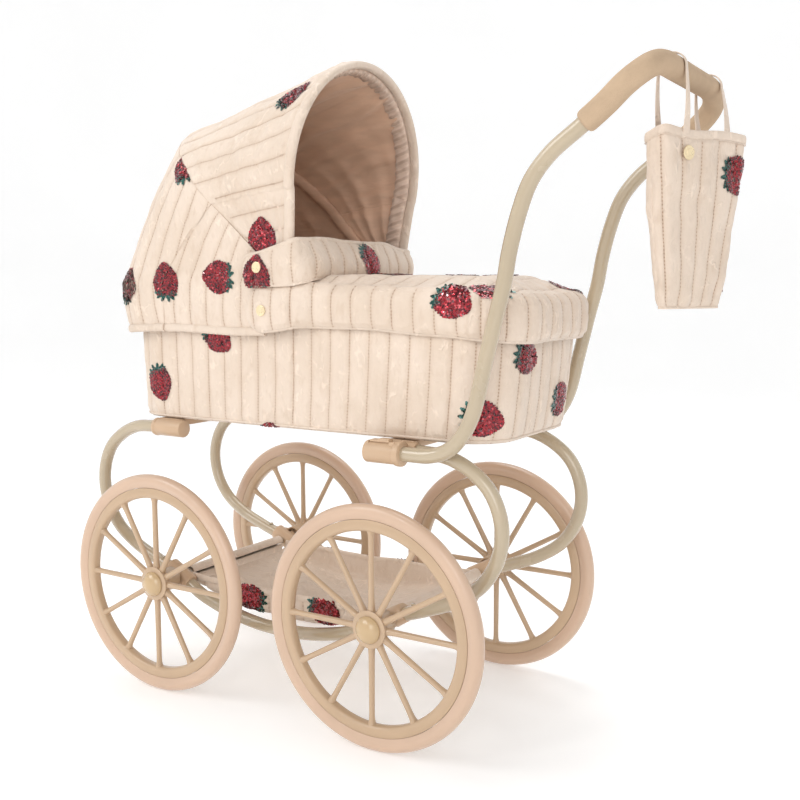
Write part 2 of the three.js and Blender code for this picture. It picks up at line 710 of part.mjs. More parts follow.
buildSideFrames();
buildBearings();
buildAxles();
buildClamps();
buildWheels();
buildHandle();
buildBag();
buildBasket();
buildCot();
buildHood();
buildApron();
buildFlap();
buildSnaps();

// The frame's origin is under the middle of the object's plan box.
pieces.position.x = -PLAN_CENTRE_X;
const group = new THREE.Group();
group.add(pieces);

export default group;
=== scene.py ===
import math

import bmesh
import bpy
import numpy as np
from mathutils import Matrix, Vector
from mathutils.bvhtree import BVHTree


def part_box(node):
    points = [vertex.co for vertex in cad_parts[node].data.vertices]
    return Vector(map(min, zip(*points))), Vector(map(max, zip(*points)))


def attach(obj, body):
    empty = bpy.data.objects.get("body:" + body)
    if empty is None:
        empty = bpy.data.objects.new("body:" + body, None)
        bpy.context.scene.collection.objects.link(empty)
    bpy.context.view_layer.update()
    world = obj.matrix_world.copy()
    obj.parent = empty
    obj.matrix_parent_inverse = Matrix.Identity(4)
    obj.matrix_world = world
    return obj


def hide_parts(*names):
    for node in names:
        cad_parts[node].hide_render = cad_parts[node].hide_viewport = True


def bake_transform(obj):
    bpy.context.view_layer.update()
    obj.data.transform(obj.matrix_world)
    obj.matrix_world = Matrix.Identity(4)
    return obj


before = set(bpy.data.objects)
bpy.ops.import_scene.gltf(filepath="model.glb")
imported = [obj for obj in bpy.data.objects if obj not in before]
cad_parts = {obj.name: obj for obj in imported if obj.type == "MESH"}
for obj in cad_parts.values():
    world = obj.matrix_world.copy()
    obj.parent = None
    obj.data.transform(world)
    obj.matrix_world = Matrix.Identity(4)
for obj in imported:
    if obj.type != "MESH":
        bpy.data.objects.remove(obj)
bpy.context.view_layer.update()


# ------------------------------------------------------------------ driving sizes, millimetres
def middle_x(node):
    low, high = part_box(node)
    return (low.x + high.x) * 500


PLAN_CENTRE = -(middle_x("front_axle") + middle_x("rear_axle")) / 2
AXLE_X = (middle_x("rear_axle") - middle_x("front_axle")) / 2
WHEEL_R = 135.0
WHEEL_Y = 148.0
FRAME_Y = 106.5
FRAME_TUBE_R = 7.75
HANDLE_Y = 124.2
HANDLE_TUBE_R = 8.0
TUBE_TOP_Z = 322.0
COT = dict(bottom=333.6, rim=488.0, head=-240.0, foot=295.0, half=108.5, corner=52.0, wall=5.0)
PIVOT = (20.0, 503.0)
FRONT_BOW = dict(lean=7.0, spring=124.0, rise=125.5, half=125.5, foot=114.5, power=2.0)
MID_BOW = dict(lean=-47.0, spring=151.0, rise=124.0, half=121.5, foot=112.2, power=2.0)
BELT = dict(lean=-90.0, spring=205.0, rise=83.0, half=114.5, foot=110.5, power=2.8)
HEM_Z = 445.0
HOOD_OUT = 8.3          # bow wire to the hood's outer face
HOOD_IN = 4.6           # bow wire to the lining
HOOD_CENTRE = (-60.0, 0.0, 560.0)
APRON = dict(head=36.0, foot=309.0, half=116.8, corner=60.0)
APRON_THICK = 3.6
TAB_Y = 127.0
TAB_END = -27.0
BAG = dict(x=440.0, y=16.0, top=649.0, bottom=474.0, turn=-27.0,
           top_w=127.0, top_d=38.0, low_w=84.0, low_d=14.0)
BASKET = dict(half=96.0, end=151.0, rim=133.0, floor=98.6, floor_end=122.0, wall_share=0.16, wall_run=108.0)
BAR = (437.5, 702.0)
GRIP_R = 11.5
PITCH = 26.0            # width of a quilted channel
PUFF = 2.3              # height of a channel over its seams
HOOD_SEAM = HOOD_OUT - PUFF - 0.3
STITCH = 3.6            # one stitch and the gap after it
THREAD = 1.1            # spacing of the weave's threads
BERRY = 41.0            # length of a sequin strawberry without its leaves
SEQUIN_R = 1.38
SEQUIN_PITCH = 1.95     # sequins overlap a little
SEQUIN_REACH = 0.03     # metres searched above and below the cloth for a sequin's place
STEEPEST = 0.15         # cosine of the slope beyond which no sequin is sewn
FLAP_SNAP = (-4.0, 132.2, 519.0)
APRON_SNAP = (-1.0, 129.6, 470.6)
BASKET_SNAP = (124.0, 93.5, 126.0)


def metres(points):
    out = np.asarray(points, float).reshape(-1, 3) / 1000
    out[:, 0] -= PLAN_CENTRE / 1000
    return out


# ------------------------------------------------------------------ numbers on curves and grids
def lattice(x, y, seed):
    n = np.sin(x * 127.1 + y * 311.7 + seed * 74.7) * 43758.5453
    return n - np.floor(n)


def noise(x, y, seed=0):
    """Smooth value noise from -1 to 1, the same on every run."""
    x, y = np.broadcast_arrays(np.asarray(x, float), np.asarray(y, float))
    ix, iy = np.floor(x), np.floor(y)
    fx, fy = eased(x - ix), eased(y - iy)
    low = lattice(ix, iy, seed) * (1 - fx) + lattice(ix + 1, iy, seed) * fx
    high = lattice(ix, iy + 1, seed) * (1 - fx) + lattice(ix + 1, iy + 1, seed) * fx
    return 2 * (low * (1 - fy) + high * fy) - 1


def unit(v):
    return v / np.maximum(np.linalg.norm(v, axis=-1, keepdims=True), 1e-9)


def eased(x):
    """Smooth step of a value that runs from 0 to 1."""
    return x * x * (3 - 2 * x)


def fade_in(distance, width):
    return eased(np.clip(distance / width, 0, 1))


def angles(count):
    """Even steps round a circle, without the closing one."""
    return 2 * math.pi * np.arange(count) / count


def circle(sides):
    return np.stack([np.cos(angles(sides)), np.sin(angles(sides))], 1)


def every(direction, rows):
    """The same direction once for each row."""
    return np.tile(np.asarray(direction, float), (len(rows), 1))


def rounded_end(distance, radius):
    """1 at the end of a strip and 0 from radius on, along a quarter circle."""
    return 1 - np.sqrt(np.clip(1 - (1 - np.clip(distance / radius, 0, 1)) ** 2, 0, 1))


def resample(path, count, closed=False):
    path = np.asarray(path, float)
    if closed:
        path = np.vstack([path, path[:1]])
    s = running(path, 0)
    want = np.linspace(0, s[-1], count + 1)[:-1] if closed else np.linspace(0, s[-1], count)
    return np.stack([np.interp(want, s, path[:, k]) for k in range(3)], 1)


def smooth_curve(points, count):
    """Centripetal Catmull-Rom curve through the points."""
    p = np.asarray(points, float)
    p = np.vstack([2 * p[0] - p[1], p, 2 * p[-1] - p[-2]])
    out = []
    for a, b, c, d in zip(p[:-3], p[1:-2], p[2:-1], p[3:]):
        t0 = 0.0
        t1 = t0 + np.linalg.norm(b - a) ** 0.5
        t2 = t1 + np.linalg.norm(c - b) ** 0.5
        t3 = t2 + np.linalg.norm(d - c) ** 0.5
        t = np.linspace(t1, t2, 17)[:-1, None]
        a1 = (t1 - t) / (t1 - t0) * a + (t - t0) / (t1 - t0) * b
        a2 = (t2 - t) / (t2 - t1) * b + (t - t1) / (t2 - t1) * c
        a3 = (t3 - t) / (t3 - t2) * c + (t - t2) / (t3 - t2) * d
        b1 = (t2 - t) / (t2 - t0) * a1 + (t - t0) / (t2 - t0) * a2
        b2 = (t3 - t) / (t3 - t1) * a2 + (t - t1) / (t3 - t1) * a3
        out.append((t2 - t) / (t2 - t1) * b1 + (t - t1) / (t2 - t1) * b2)
    out.append(p[-2][None])
    return resample(np.vstack(out), count)


def tangents(path, closed=False):
    if closed:
        return unit(np.roll(path, -1, 0) - np.roll(path, 1, 0))
    return unit(np.gradient(path, axis=0))


def transported(path, closed=False):
    """Two directions across a path that twist as little as they can along it."""
    t = tangents(path, closed)
    first = np.array([0, 0, 1.0]) if abs(t[0][2]) < 0.9 else np.array([1.0, 0, 0])
    a = unit(first - t[0] * (first @ t[0]))
    rows = [a]
    for k in range(1, len(path)):
        a = unit(a - t[k] * (a @ t[k]))
        rows.append(a)
    a = np.array(rows)
    return a, np.cross(t, a)


def grid_normals(p, closed=False):
    du = np.roll(p, -1, 0) - np.roll(p, 1, 0) if closed else np.gradient(p, axis=0)
    dv = np.gradient(p, axis=1)
    return unit(np.cross(du, dv))


def running(p, axis):
    """Distance along a path (axis 0), or along a grid's rows or columns."""
    step = np.linalg.norm(np.diff(p, axis=axis), axis=-1)
    zero = np.zeros_like(step.take([0], axis))
    return np.concatenate([zero, np.cumsum(step, axis)], axis)


def channels(across, along, puff=PUFF, seed=1):
    """Relief of channel quilting: rounded ridges between sewn lines, puckered along the seams."""
    c = np.abs(((across / PITCH) % 1) - 0.5) * 2
    ridge = (1 - c ** 2.6) ** 0.55
    pucker = noise(across / 9, along / 7, seed) * (0.25 + 0.75 * c ** 3) * 0.42
    crease = noise(across / 34 + along / 60, along / 15, seed + 3) * 0.5
    tiny = noise(across / 5.5, along / 4.5, seed + 5) * 0.16
    return puff * ridge + (pucker + crease * (1 - c ** 4) + tiny) * min(1, puff / 1.5)


def superellipse(half_a, half_b, count=16, power=2.6):
    a = 2 * math.pi * (np.arange(count) + 0.5) / count
    c, s = np.cos(a), np.sin(a)
    k = 2 / power
    return np.stack([half_a * np.sign(c) * abs(c) ** k, half_b * np.sign(s) * abs(s) ** k], 1)


def plan_ring(x0, x1, half, corner):
    """Rounded rectangle in plan, counter-clockwise from the middle of the -Y side."""
    def arc(cx, cy, start):
        a = np.radians(np.linspace(start, start + 90, 11))
        return np.stack([cx + corner * np.cos(a), cy + corner * np.sin(a)], 1)
    mid = (x0 + x1) / 2
    return np.vstack([
        [[mid, -half]], arc(x1 - corner, -half + corner, -90), arc(x1 - corner, half - corner, 0),
        arc(x0 + corner, half - corner, 90), arc(x0 + corner, -half + corner, 180),
    ])


# ------------------------------------------------------------------ meshes
def linked(name, data):
    obj = bpy.data.objects.new(name, data)
    bpy.context.scene.collection.objects.link(obj)
    return obj


def applied_mesh(obj):
    """The object's mesh with its modifiers applied; the modifiers are then removed."""
    graph = bpy.context.evaluated_depsgraph_get()
    mesh = bpy.data.meshes.new_from_object(obj.evaluated_get(graph))
    obj.modifiers.clear()
    return mesh


class Shape:
    """Collects grids of points, in millimetres, into one mesh."""

    def __init__(self):
        self.points, self.faces, self.uvs, self.slots = [], [], [], []
        self.count = 0

    def grid(self, p, uv=None, closed=False, around=False, slot=0, flip=False):
        """closed joins the last row to the first; around joins the last column to the first."""
        n, m = p.shape[:2]
        if uv is None:
            uv = np.stack([running(p, 0), running(p, 1)], -1)
        rows, cols = n - (not closed), m - (not around)
        i, j = np.meshgrid(np.arange(rows), np.arange(cols), indexing="ij")
        i2, j2 = (i + 1) % n, (j + 1) % m
        quad = np.stack([i * m + j, i2 * m + j, i2 * m + j2, i * m + j2], -1).reshape(-1, 4)
        wide_u = uv[-1] + (uv[-1] - uv[-2])
        uv_all = np.concatenate([uv, wide_u[None]], 0) if closed else uv
        if around:
            last = uv_all[:, -1:] + (uv_all[:, -1:] - uv_all[:, -2:-1])
            uv_all = np.concatenate([uv_all, last], 1)
        corner = np.stack([uv_all[i, j], uv_all[i + 1, j], uv_all[i + 1, j + 1], uv_all[i, j + 1]], 2)
        corner = corner.reshape(-1, 4, 2)
        if flip:
            quad, corner = quad[:, ::-1], corner[:, ::-1]
        self._take(p.reshape(-1, 3), quad, corner, slot)

    def _take(self, points, faces, uvs, slot):
        self.points.append(points)
        self.faces.extend((np.asarray(faces) + self.count).tolist())
        self.uvs.append(np.asarray(uvs, float).reshape(-1, 2))
        self.slots.extend([slot] * len(faces))
        self.count += len(points)

    def cap(self, ring, slot=0, flip=False):
        face = np.arange(len(ring))[None]
        if flip:
            face = face[:, ::-1]
        self._take(ring, face, ring[face[0], :2] * 0.001, slot)

    def sheet(self, outer, inner, uv, slots=(0, 0), turned=False):
        """Two faces of a thick cloth and the strips that join their edges."""
        self.grid(outer, uv, slot=slots[0], flip=turned)
        self.grid(inner, uv, slot=slots[1], flip=not turned)
        for col in (0, -1):
            strip = np.stack([outer[:, col], inner[:, col]], 1)
            self.grid(strip, slot=slots[0], flip=(col == 0) != turned)
        for row in (0, -1):
            strip = np.stack([outer[row], inner[row]], 1)
            self.grid(strip, slot=slots[0], flip=(row == -1) != turned)

    def pouch(self, outer, inner, uv):
        """Open-topped bag: two closed walls, a bottom each, and the rim that joins them."""
        self.grid(outer, uv, closed=True)
        self.grid(inner, closed=True, slot=1, flip=True)
        self.cap(outer[:, 0], 1, flip=True)
        self.cap(inner[:, 0], 1)
        self.grid(np.stack([outer[:, -1], inner[:, -1]], 1), closed=True, slot=1)

    def binding(self, rim, profile):
        """Edge tape, standing upright, round a closed rim."""
        up = every((0, 0, 1), rim)
        self.sweep(rim, np.cross(tangents(rim, closed=True), up), up, profile, closed=True, slot=1)

    def sweep(self, path, a, b, profile, closed=False, slot=0, scale=None):
        """Profile (or one per station) carried along a path, its two axes along a and b."""
        path = np.asarray(path, float)
        profile = np.broadcast_to(profile, (len(path),) + np.shape(profile)[-2:])
        if scale is not None:
            profile = profile * np.asarray(scale)[:, None, None]
        p = path[:, None] + a[:, None] * profile[..., :1] + b[:, None] * profile[..., 1:]
        self.grid(p, closed=closed, around=True, slot=slot)
        if not closed:
            self.cap(p[0], slot, flip=False)
            self.cap(p[-1], slot, flip=True)

    def tube(self, path, radius, sides=28, closed=False, slot=0, scale=None):
        a, b = transported(np.asarray(path, float), closed)
        self.sweep(path, a, b, radius * circle(sides), closed, slot, scale)

    def lathe(self, profile, axis, centre, segments=64):
        """profile is (radius, along) pairs about a line through centre along an axis."""
        profile = np.asarray(profile, float)
        a = angles(segments)
        along = {"x": 0, "y": 1, "z": 2}[axis]
        u, v = [(1, 2), (2, 0), (0, 1)][along]
        p = np.zeros((segments, len(profile), 3))
        p[..., along] = profile[:, 1]
        p[..., u] = np.cos(a)[:, None] * profile[:, 0]
        p[..., v] = np.sin(a)[:, None] * profile[:, 0]
        self.grid(p + np.asarray(centre, float), closed=True)

    def block(self, low, high, bevel):
        """Box with rounded edges."""
        bm = bmesh.new()
        bmesh.ops.create_cube(bm, size=1)
        low, high = np.asarray(low, float), np.asarray(high, float)
        for v in bm.verts:
            v.co = Vector((low + high) / 2 + np.array(v.co) * (high - low))
        bmesh.ops.bevel(bm, geom=bm.edges[:], offset=bevel, segments=3, profile=0.5, affect="EDGES")
        bm.verts.index_update()
        points = np.array([v.co for v in bm.verts])
        for f in bm.faces:
            ring = np.array([v.index for v in f.verts])
            self.faces.append((ring + self.count).tolist())
            self.uvs.append(points[ring][:, :2] * 0.001)
            self.slots.append(0)
        self.points.append(points)
        self.count += len(points)
        bm.free()

    def build(self, name, materials, body=None, replaces=(), slot=None, weld=0.02, sharp=42, fix=True):
        mesh = bpy.data.meshes.new(name)
        mesh.from_pydata(metres(np.vstack(self.points)).tolist(), [], self.faces)
        layer = mesh.uv_layers.new(name="UVMap")
        layer.data.foreach_set("uv", np.vstack(self.uvs).astype(np.float32).ravel())
        mesh.polygons.foreach_set("material_index", self.slots)
        for material in materials:
            mesh.materials.append(material)
        bm = bmesh.new()
        bm.from_mesh(mesh)
        bmesh.ops.remove_doubles(bm, verts=bm.verts, dist=weld / 1000)
        if fix:
            bmesh.ops.recalc_face_normals(bm, faces=bm.faces)
        bm.to_mesh(mesh)
        bm.free()
        mesh.shade_smooth()
        mesh.set_sharp_from_angle(angle=math.radians(sharp))
        obj = linked(name, mesh)
        if replaces:
            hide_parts(*replaces)
        if body:
            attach(obj, body)
        return obj


# ------------------------------------------------------------------ materials
class Finish:
    """A Principled material with a few node helpers."""

    def __init__(self, name, roughness, metallic=0.0, **sockets):
        self.material = bpy.data.materials.new(name)
        self.material.use_nodes = True
        tree = self.material.node_tree
        self.nodes, self.links = tree.nodes, tree.links
        self.bsdf = self.nodes["Principled BSDF"]
        self.bsdf.inputs["Roughness"].default_value = roughness
        self.bsdf.inputs["Metallic"].default_value = metallic
        for key, value in sockets.items():
            self.bsdf.inputs[key.replace("_", " ").title().replace("Ior", "IOR")].default_value = value
        self.place = self.nodes.new("ShaderNodeTexCoord")
        self.last_bump = None

    def put(self, socket, value):
        if hasattr(value, "is_output"):
            self.links.new(value, socket)
        elif hasattr(value, "__len__") and len(value) == 3:
            socket.default_value = (*value, 1) if len(socket.default_value) == 4 else value
        else:
            socket.default_value = value

    def math(self, operation, *values):
        node = self.nodes.new("ShaderNodeMath")
        node.operation = operation
        for k, value in enumerate(values):
            self.put(node.inputs[k], value)
        return node.outputs[0]

    def ramp(self, value, low, high, to_low=0.0, to_high=1.0):
        node = self.nodes.new("ShaderNodeMapRange")
        node.interpolation_type = "SMOOTHSTEP"
        for k, item in enumerate((value, low, high, to_low, to_high)):
            self.put(node.inputs[k], item)
        return node.outputs[0]

    def noise(self, scale, detail=3.0, stretch=(1, 1, 1)):
        mapping = self.nodes.new("ShaderNodeMapping")
        mapping.inputs["Scale"].default_value = stretch
        self.links.new(self.place.outputs["Object"], mapping.inputs[0])
        node = self.nodes.new("ShaderNodeTexNoise")
        self.links.new(mapping.outputs[0], node.inputs["Vector"])
        node.inputs["Scale"].default_value = scale
        node.inputs["Detail"].default_value = detail
        node.inputs["Roughness"].default_value = 0.55
        return node.outputs["Fac"]

    def mix(self, factor, first, second):
        node = self.nodes.new("ShaderNodeMix")
        node.data_type = "RGBA"
        self.put(node.inputs[0], factor)
        self.put(node.inputs[6], first)
        self.put(node.inputs[7], second)
        return node.outputs[2]

    def bump(self, height, distance, strength=1.0):
        node = self.nodes.new("ShaderNodeBump")
        node.inputs["Distance"].default_value = distance
        node.inputs["Strength"].default_value = strength
        self.links.new(height, node.inputs["Height"])
        if self.last_bump:
            self.links.new(self.last_bump, node.inputs["Normal"])
        self.last_bump = node.outputs[0]
        self.links.new(self.last_bump, self.bsdf.inputs["Normal"])

    def colour(self, value):
        self.put(self.bsdf.inputs["Base Color"], value)

    def roughness(self, value):
        self.put(self.bsdf.inputs["Roughness"], value)


def srgb(r, g, b):
    return tuple(((c / 255 + 0.055) / 1.055) ** 2.4 for c in (r, g, b))


def shade(base, factor):
    """Colour times one number, or one for each channel, with no channel over 1."""
    return tuple(float(c) for c in np.minimum(1, np.multiply(base, factor)))


def weave(finish):
    """Over-and-under threads of a plain cotton weave."""
    uv = finish.nodes.new("ShaderNodeSeparateXYZ")
    finish.links.new(finish.place.outputs["UV"], uv.inputs[0])
    turns = 2 * math.pi / THREAD
    warp = finish.math("SINE", finish.math("MULTIPLY", uv.outputs[0], turns))
    weft = finish.math("SINE", finish.math("MULTIPLY", uv.outputs[1], turns))
    cross = finish.math("MULTIPLY", warp, weft)
    finish.bump(cross, 0.00012, 0.35)
    return uv


def quilt_finish(name, base, stitched=True):
    """Satin-faced cotton: crinkled, with dashed stitch lines at every channel seam, painted shade on the
    crinkles and beside the seams, and painted highlight strokes.
    """
    f = Finish(name, 0.52, sheen_weight=0.2, sheen_roughness=0.5, specular_ior_level=0.5)
    uv = weave(f)
    light, dark = shade(base, 1.05), shade(base, (0.86, 0.8, 0.74))
    patch = f.ramp(f.noise(14, 4), 0.35, 0.7)
    colour = f.mix(patch, light, shade(base, (0.96, 0.94, 0.91)))
    crinkle = f.noise(95, 4, (1, 1, 0.5))
    level = f.math("ABSOLUTE", f.math("SUBTRACT", f.noise(38, 3, (1, 1, 0.6)), 0.5))
    strokes = f.math("MULTIPLY", f.ramp(level, 0.0, 0.035, 1, 0), f.ramp(f.noise(55, 2), 0.48, 0.62))
    # painted shade: the crinkle noise that makes the bump also darkens the colour
    colour = f.mix(f.ramp(crinkle, 0.53, 0.72, 0, 0.45), colour, dark)
    # painted highlight: short light strokes of satin sheen on the puckers
    colour = f.mix(f.math("MULTIPLY", strokes, 0.7), colour, shade(base, 1.22))
    if stitched:
        turn = f.math("FRACT", f.math("ADD", f.math("DIVIDE", uv.outputs[0], PITCH), 0.5))
        off = f.math("MULTIPLY", f.math("ABSOLUTE", f.math("SUBTRACT", turn, 0.5)), PITCH)
        line = f.ramp(off, 0.35, 1.0, 1, 0)
        # painted shade: the colour darkens up to 6.5 mm either side of each seam, where the channels dip
        groove_shade = f.ramp(off, 0.5, 6.5, 1, 0)
        stitch = f.math("FRACT", f.math("DIVIDE", uv.outputs[1], STITCH))
        dash = f.ramp(f.math("ABSOLUTE", f.math("SUBTRACT", stitch, 0.5)), 0.27, 0.34, 1, 0)
        colour = f.mix(f.math("MULTIPLY", groove_shade, 0.38), colour, dark)
        colour = f.mix(f.math("MULTIPLY", line, 0.85), colour, shade(base, (0.6, 0.44, 0.32)))
        colour = f.mix(f.math("MULTIPLY", f.math("MULTIPLY", line, dash), 0.6), colour, light)
        f.bump(f.math("MULTIPLY", line, f.math("SUBTRACT", 1.0, dash)), -0.0006, 0.8)
    f.bump(crinkle, 0.003, 0.9)
    f.bump(strokes, 0.0009, 0.6)
    f.bump(f.noise(34, 3, (1, 1, 0.6)), 0.006, 0.5)
    f.roughness(f.ramp(f.noise(60, 3), 0.3, 0.7, 0.42, 0.62))
    f.colour(colour)
    return f.material


def lining_finish(name, base):
    f = Finish(name, 0.55, sheen_weight=0.3, sheen_roughness=0.4)
    weave(f)
    folds = f.noise(26, 4, (0.6, 0.6, 2.4))
    # painted shade: the fold noise that makes the bump also darkens the fold hollows
    colour = f.mix(f.ramp(folds, 0.35, 0.7), shade(base, 0.86), base)
    # painted shade: the colour darkens in the pleat and fold valleys, found by pointiness
    shape = f.nodes.new("ShaderNodeNewGeometry")
    valley_shade = f.ramp(shape.outputs["Pointiness"], 0.44, 0.5, 0.6, 0)
    colour = f.mix(valley_shade, colour, shade(base, (0.5, 0.42, 0.36)))
    f.colour(colour)
    f.bump(folds, 0.006, 0.45)
    f.bump(f.noise(160, 3), 0.0008, 0.4)
    f.roughness(f.ramp(f.noise(30), 0.3, 0.7, 0.45, 0.65))
    return f.material


def moulded_finish(name, base, rough, grain=0.00012, coat=0.0):
    """Painted or moulded surface: fine grain, faint mottling and lighter patches on convex edges."""
    f = Finish(name, rough, coat_weight=coat, coat_roughness=0.12)
    mottled = f.ramp(f.noise(9, 4), 0.3, 0.7)
    colour = f.mix(mottled, base, shade(base, 0.93))
    surface_shape = f.nodes.new("ShaderNodeNewGeometry")
    # lighter colour in noisy patches on convex edges
    high_spots = f.ramp(surface_shape.outputs["Pointiness"], 0.53, 0.6)
    lighter_patches = f.math("MULTIPLY", high_spots, f.ramp(f.noise(70), 0.4, 0.7))
    colour = f.mix(f.math("MULTIPLY", lighter_patches, 0.3), colour, shade(base, 1.25))
    speck = f.ramp(f.noise(400, 2), 0.7, 0.78, 0, 0.25)
    colour = f.mix(speck, colour, shade(base, 0.8))
    f.colour(colour)
    f.bump(f.noise(900, 2), grain, 0.5)
    f.bump(f.noise(45, 2), 0.0004, 0.2)
    f.roughness(f.ramp(f.noise(24, 4), 0.25, 0.75, rough * 0.85, rough * 1.2))
    return f.material


def metal_finish(name, base, rough, brushed=(1, 1, 1), metallic=1.0):
    f = Finish(name, rough, metallic)
    f.colour(f.mix(f.ramp(f.noise(40, 4), 0.3, 0.7), base, shade(base, 0.82)))
    f.bump(f.noise(300, 3, brushed), 0.0002, 0.3)
    f.roughness(f.ramp(f.noise(120, 3, brushed), 0.3, 0.7, rough * 0.7, rough * 1.3))
    return f.material


def sequin_finish(name, base):
    """Glossy plastic discs with a foil back; each has a little of its own shade."""
    f = Finish(name, 0.2, 0.8, coat_weight=0.8, coat_roughness=0.05)
    f.colour(f.mix(f.ramp(f.noise(420, 1), 0.35, 0.65), shade(base, 0.45), base))
    f.roughness(f.ramp(f.noise(300, 1), 0.35, 0.65, 0.12, 0.34))
    f.bump(f.noise(900, 1), 0.0002, 0.4)
    return f.material


def foam_finish():
    f = Finish("foam_grip", 0.85, specular_ior_level=0.25)
    base = srgb(196, 170, 142)
    f.colour(f.mix(f.ramp(f.noise(30, 5), 0.3, 0.7), base, shade(base, 0.88)))
    cells = f.nodes.new("ShaderNodeTexVoronoi")
    cells.inputs["Scale"].default_value = 900
    f.links.new(f.place.outputs["Object"], cells.inputs["Vector"])
    f.bump(cells.outputs["Distance"], 0.0006, 0.5)
    f.bump(f.noise(60, 3), 0.0012, 0.25)
    return f.material


def board_finish():
    f = Finish("base_board", 0.6)
    grain = f.noise(14, 5, (1, 12, 12))
    f.colour(f.mix(f.ramp(grain, 0.35, 0.65), srgb(196, 160, 112), srgb(160, 122, 80)))
    f.bump(grain, 0.0006, 0.4)
    return f.material


CREAM = srgb(220, 202, 185)
QUILT = quilt_finish("quilted_cotton", CREAM)
PLAIN = quilt_finish("plain_cotton", shade(CREAM, 0.98), stitched=False)
LINING = lining_finish("hood_lining", srgb(232, 194, 166))
HEM_LINING = lining_finish("hoop_hem_lining", srgb(236, 212, 194))
PAINT = moulded_finish("tube_paint", srgb(186, 169, 142), 0.24, grain=0.00005, coat=1.0)
WHEEL = moulded_finish("wheel_plastic", srgb(194, 165, 134), 0.34, coat=0.4)
TYRE = moulded_finish("tyre_rubber", srgb(208, 177, 152), 0.36, grain=0.00015, coat=0.5)
CAP = moulded_finish("cap_plastic", srgb(198, 168, 126), 0.2, grain=0.00003, coat=0.8)
CLAMP = moulded_finish("clamp_plastic", srgb(202, 171, 140), 0.4, grain=0.0002, coat=0.1)
FOAM = foam_finish()
STEEL = metal_finish("zinc_steel", srgb(205, 202, 196), 0.3, (1, 14, 1))
GOLD = metal_finish("pale_gold", srgb(250, 230, 190), 0.3, metallic=0.6)
RED = sequin_finish("sequin_red", srgb(166, 34, 46))
DARK_RED = sequin_finish("sequin_dark_red", srgb(98, 20, 34))
GREEN = sequin_finish("sequin_green", srgb(30, 92, 82))
BOARD = board_finish()


SIDES = (("left", -1), ("right", 1))
ENDS = (("front", -1), ("rear", 1))


# ------------------------------------------------------------------ chassis
def side_frame_path(sign):
    half = [
        (165, 322), (200, 322), (229, 319.5), (256, 308), (277, 290), (289, 266), (292, 240),
        (285, 212), (267, 186), (236, 165), (202, 151), (AXLE_X, WHEEL_R), (126, 116), (94, 105),
        (58, 97), (24, 93),
    ]
    rear = [(x, sign * FRAME_Y, z) for x, z in half]
    front = [(-x, y, z) for x, y, z in rear]
    return smooth_curve(front + rear[::-1], 260)


def build_side_frames():
    rivet = [(0, 0), (2.6, 0), (3.4, 0.9), (2.2, 1.7), (0, 1.7)]
    for name, sign in SIDES:
        s = Shape()
        s.tube(side_frame_path(sign), FRAME_TUBE_R, 32)
        for x in (-AXLE_X - 27, AXLE_X + 27):
            z = 147.0
            s.lathe(rivet, "z", (x, sign * FRAME_Y, z + 6.4), 16)
        s.build(f"side_tube_{name}", [PAINT], "chassis", [f"side_frame_{name}"], "painted_tube")


def build_bearings():
    slope = np.array([1, 0, 19.5 / 36])
    steps = np.array([-19, -19, -18.2, -17, -8, 8, 17, 18.2, 19, 19.0])
    radii = np.array([8.6, 10.0, 10.7, 11, 11, 11, 11, 10.7, 10.0, 8.6])
    for end, way in ENDS:
        for name, sign in SIDES:
            along = unit(slope * (1, 1, way))
            centre = np.array([way * AXLE_X, sign * FRAME_Y, WHEEL_R])
            s = Shape()
            path = centre + np.outer(steps, along)
            a = every((0, 1, 0), path)
            s.sweep(path, a, np.cross(every(along, path), a), circle(32), scale=radii)
            face = sign * (WHEEL_Y - 26.8)
            collar = [(4.4, face), (7.2, face), (8, face - sign * 0.8), (8.2, face - sign * 8),
                      (9.5, sign * FRAME_Y), (4.4, sign * FRAME_Y), (4.4, face)]
            s.lathe(collar, "y", (way * AXLE_X, 0, WHEEL_R), 36)
            screw = [(0, 0), (1.9, 0), (2.4, sign * 0.4), (1.8, sign * 1.1), (0, sign * 0.7)]
            for step in (-13, 13):
                s.lathe(screw, "y", centre + along * step + np.array([0, sign * 10.6, 0]), 14)
            s.build(f"axle_bearing_{end}_{name}", [CLAMP], "chassis", [f"bearing_{end}_{name}"],
                    "clamp_plastic")


def build_axles():
    for end, way in ENDS:
        s = Shape()
        tip = WHEEL_Y + 4
        half = [(0, -tip), (3.2, -tip), (4, -tip + 1), (4, tip - 1), (3.2, tip), (0, tip)]
        s.lathe(half, "y", (way * AXLE_X, 0, WHEEL_R), 24)
        s.build(f"axle_rod_{end}", [STEEL], "chassis", [f"{end}_axle"], "steel")


def barrel(shape, y, z, radius, x0, x1, ease=1.2):
    profile = [(0, x0), (radius - ease, x0), (radius - 0.3, x0 + 0.35 * ease), (radius, x0 + ease),
               (radius, x1 - ease), (radius - 0.3, x1 - 0.35 * ease), (radius - ease, x1), (0, x1)]
    shape.lathe(profile, "x", (0, y, z), 40)


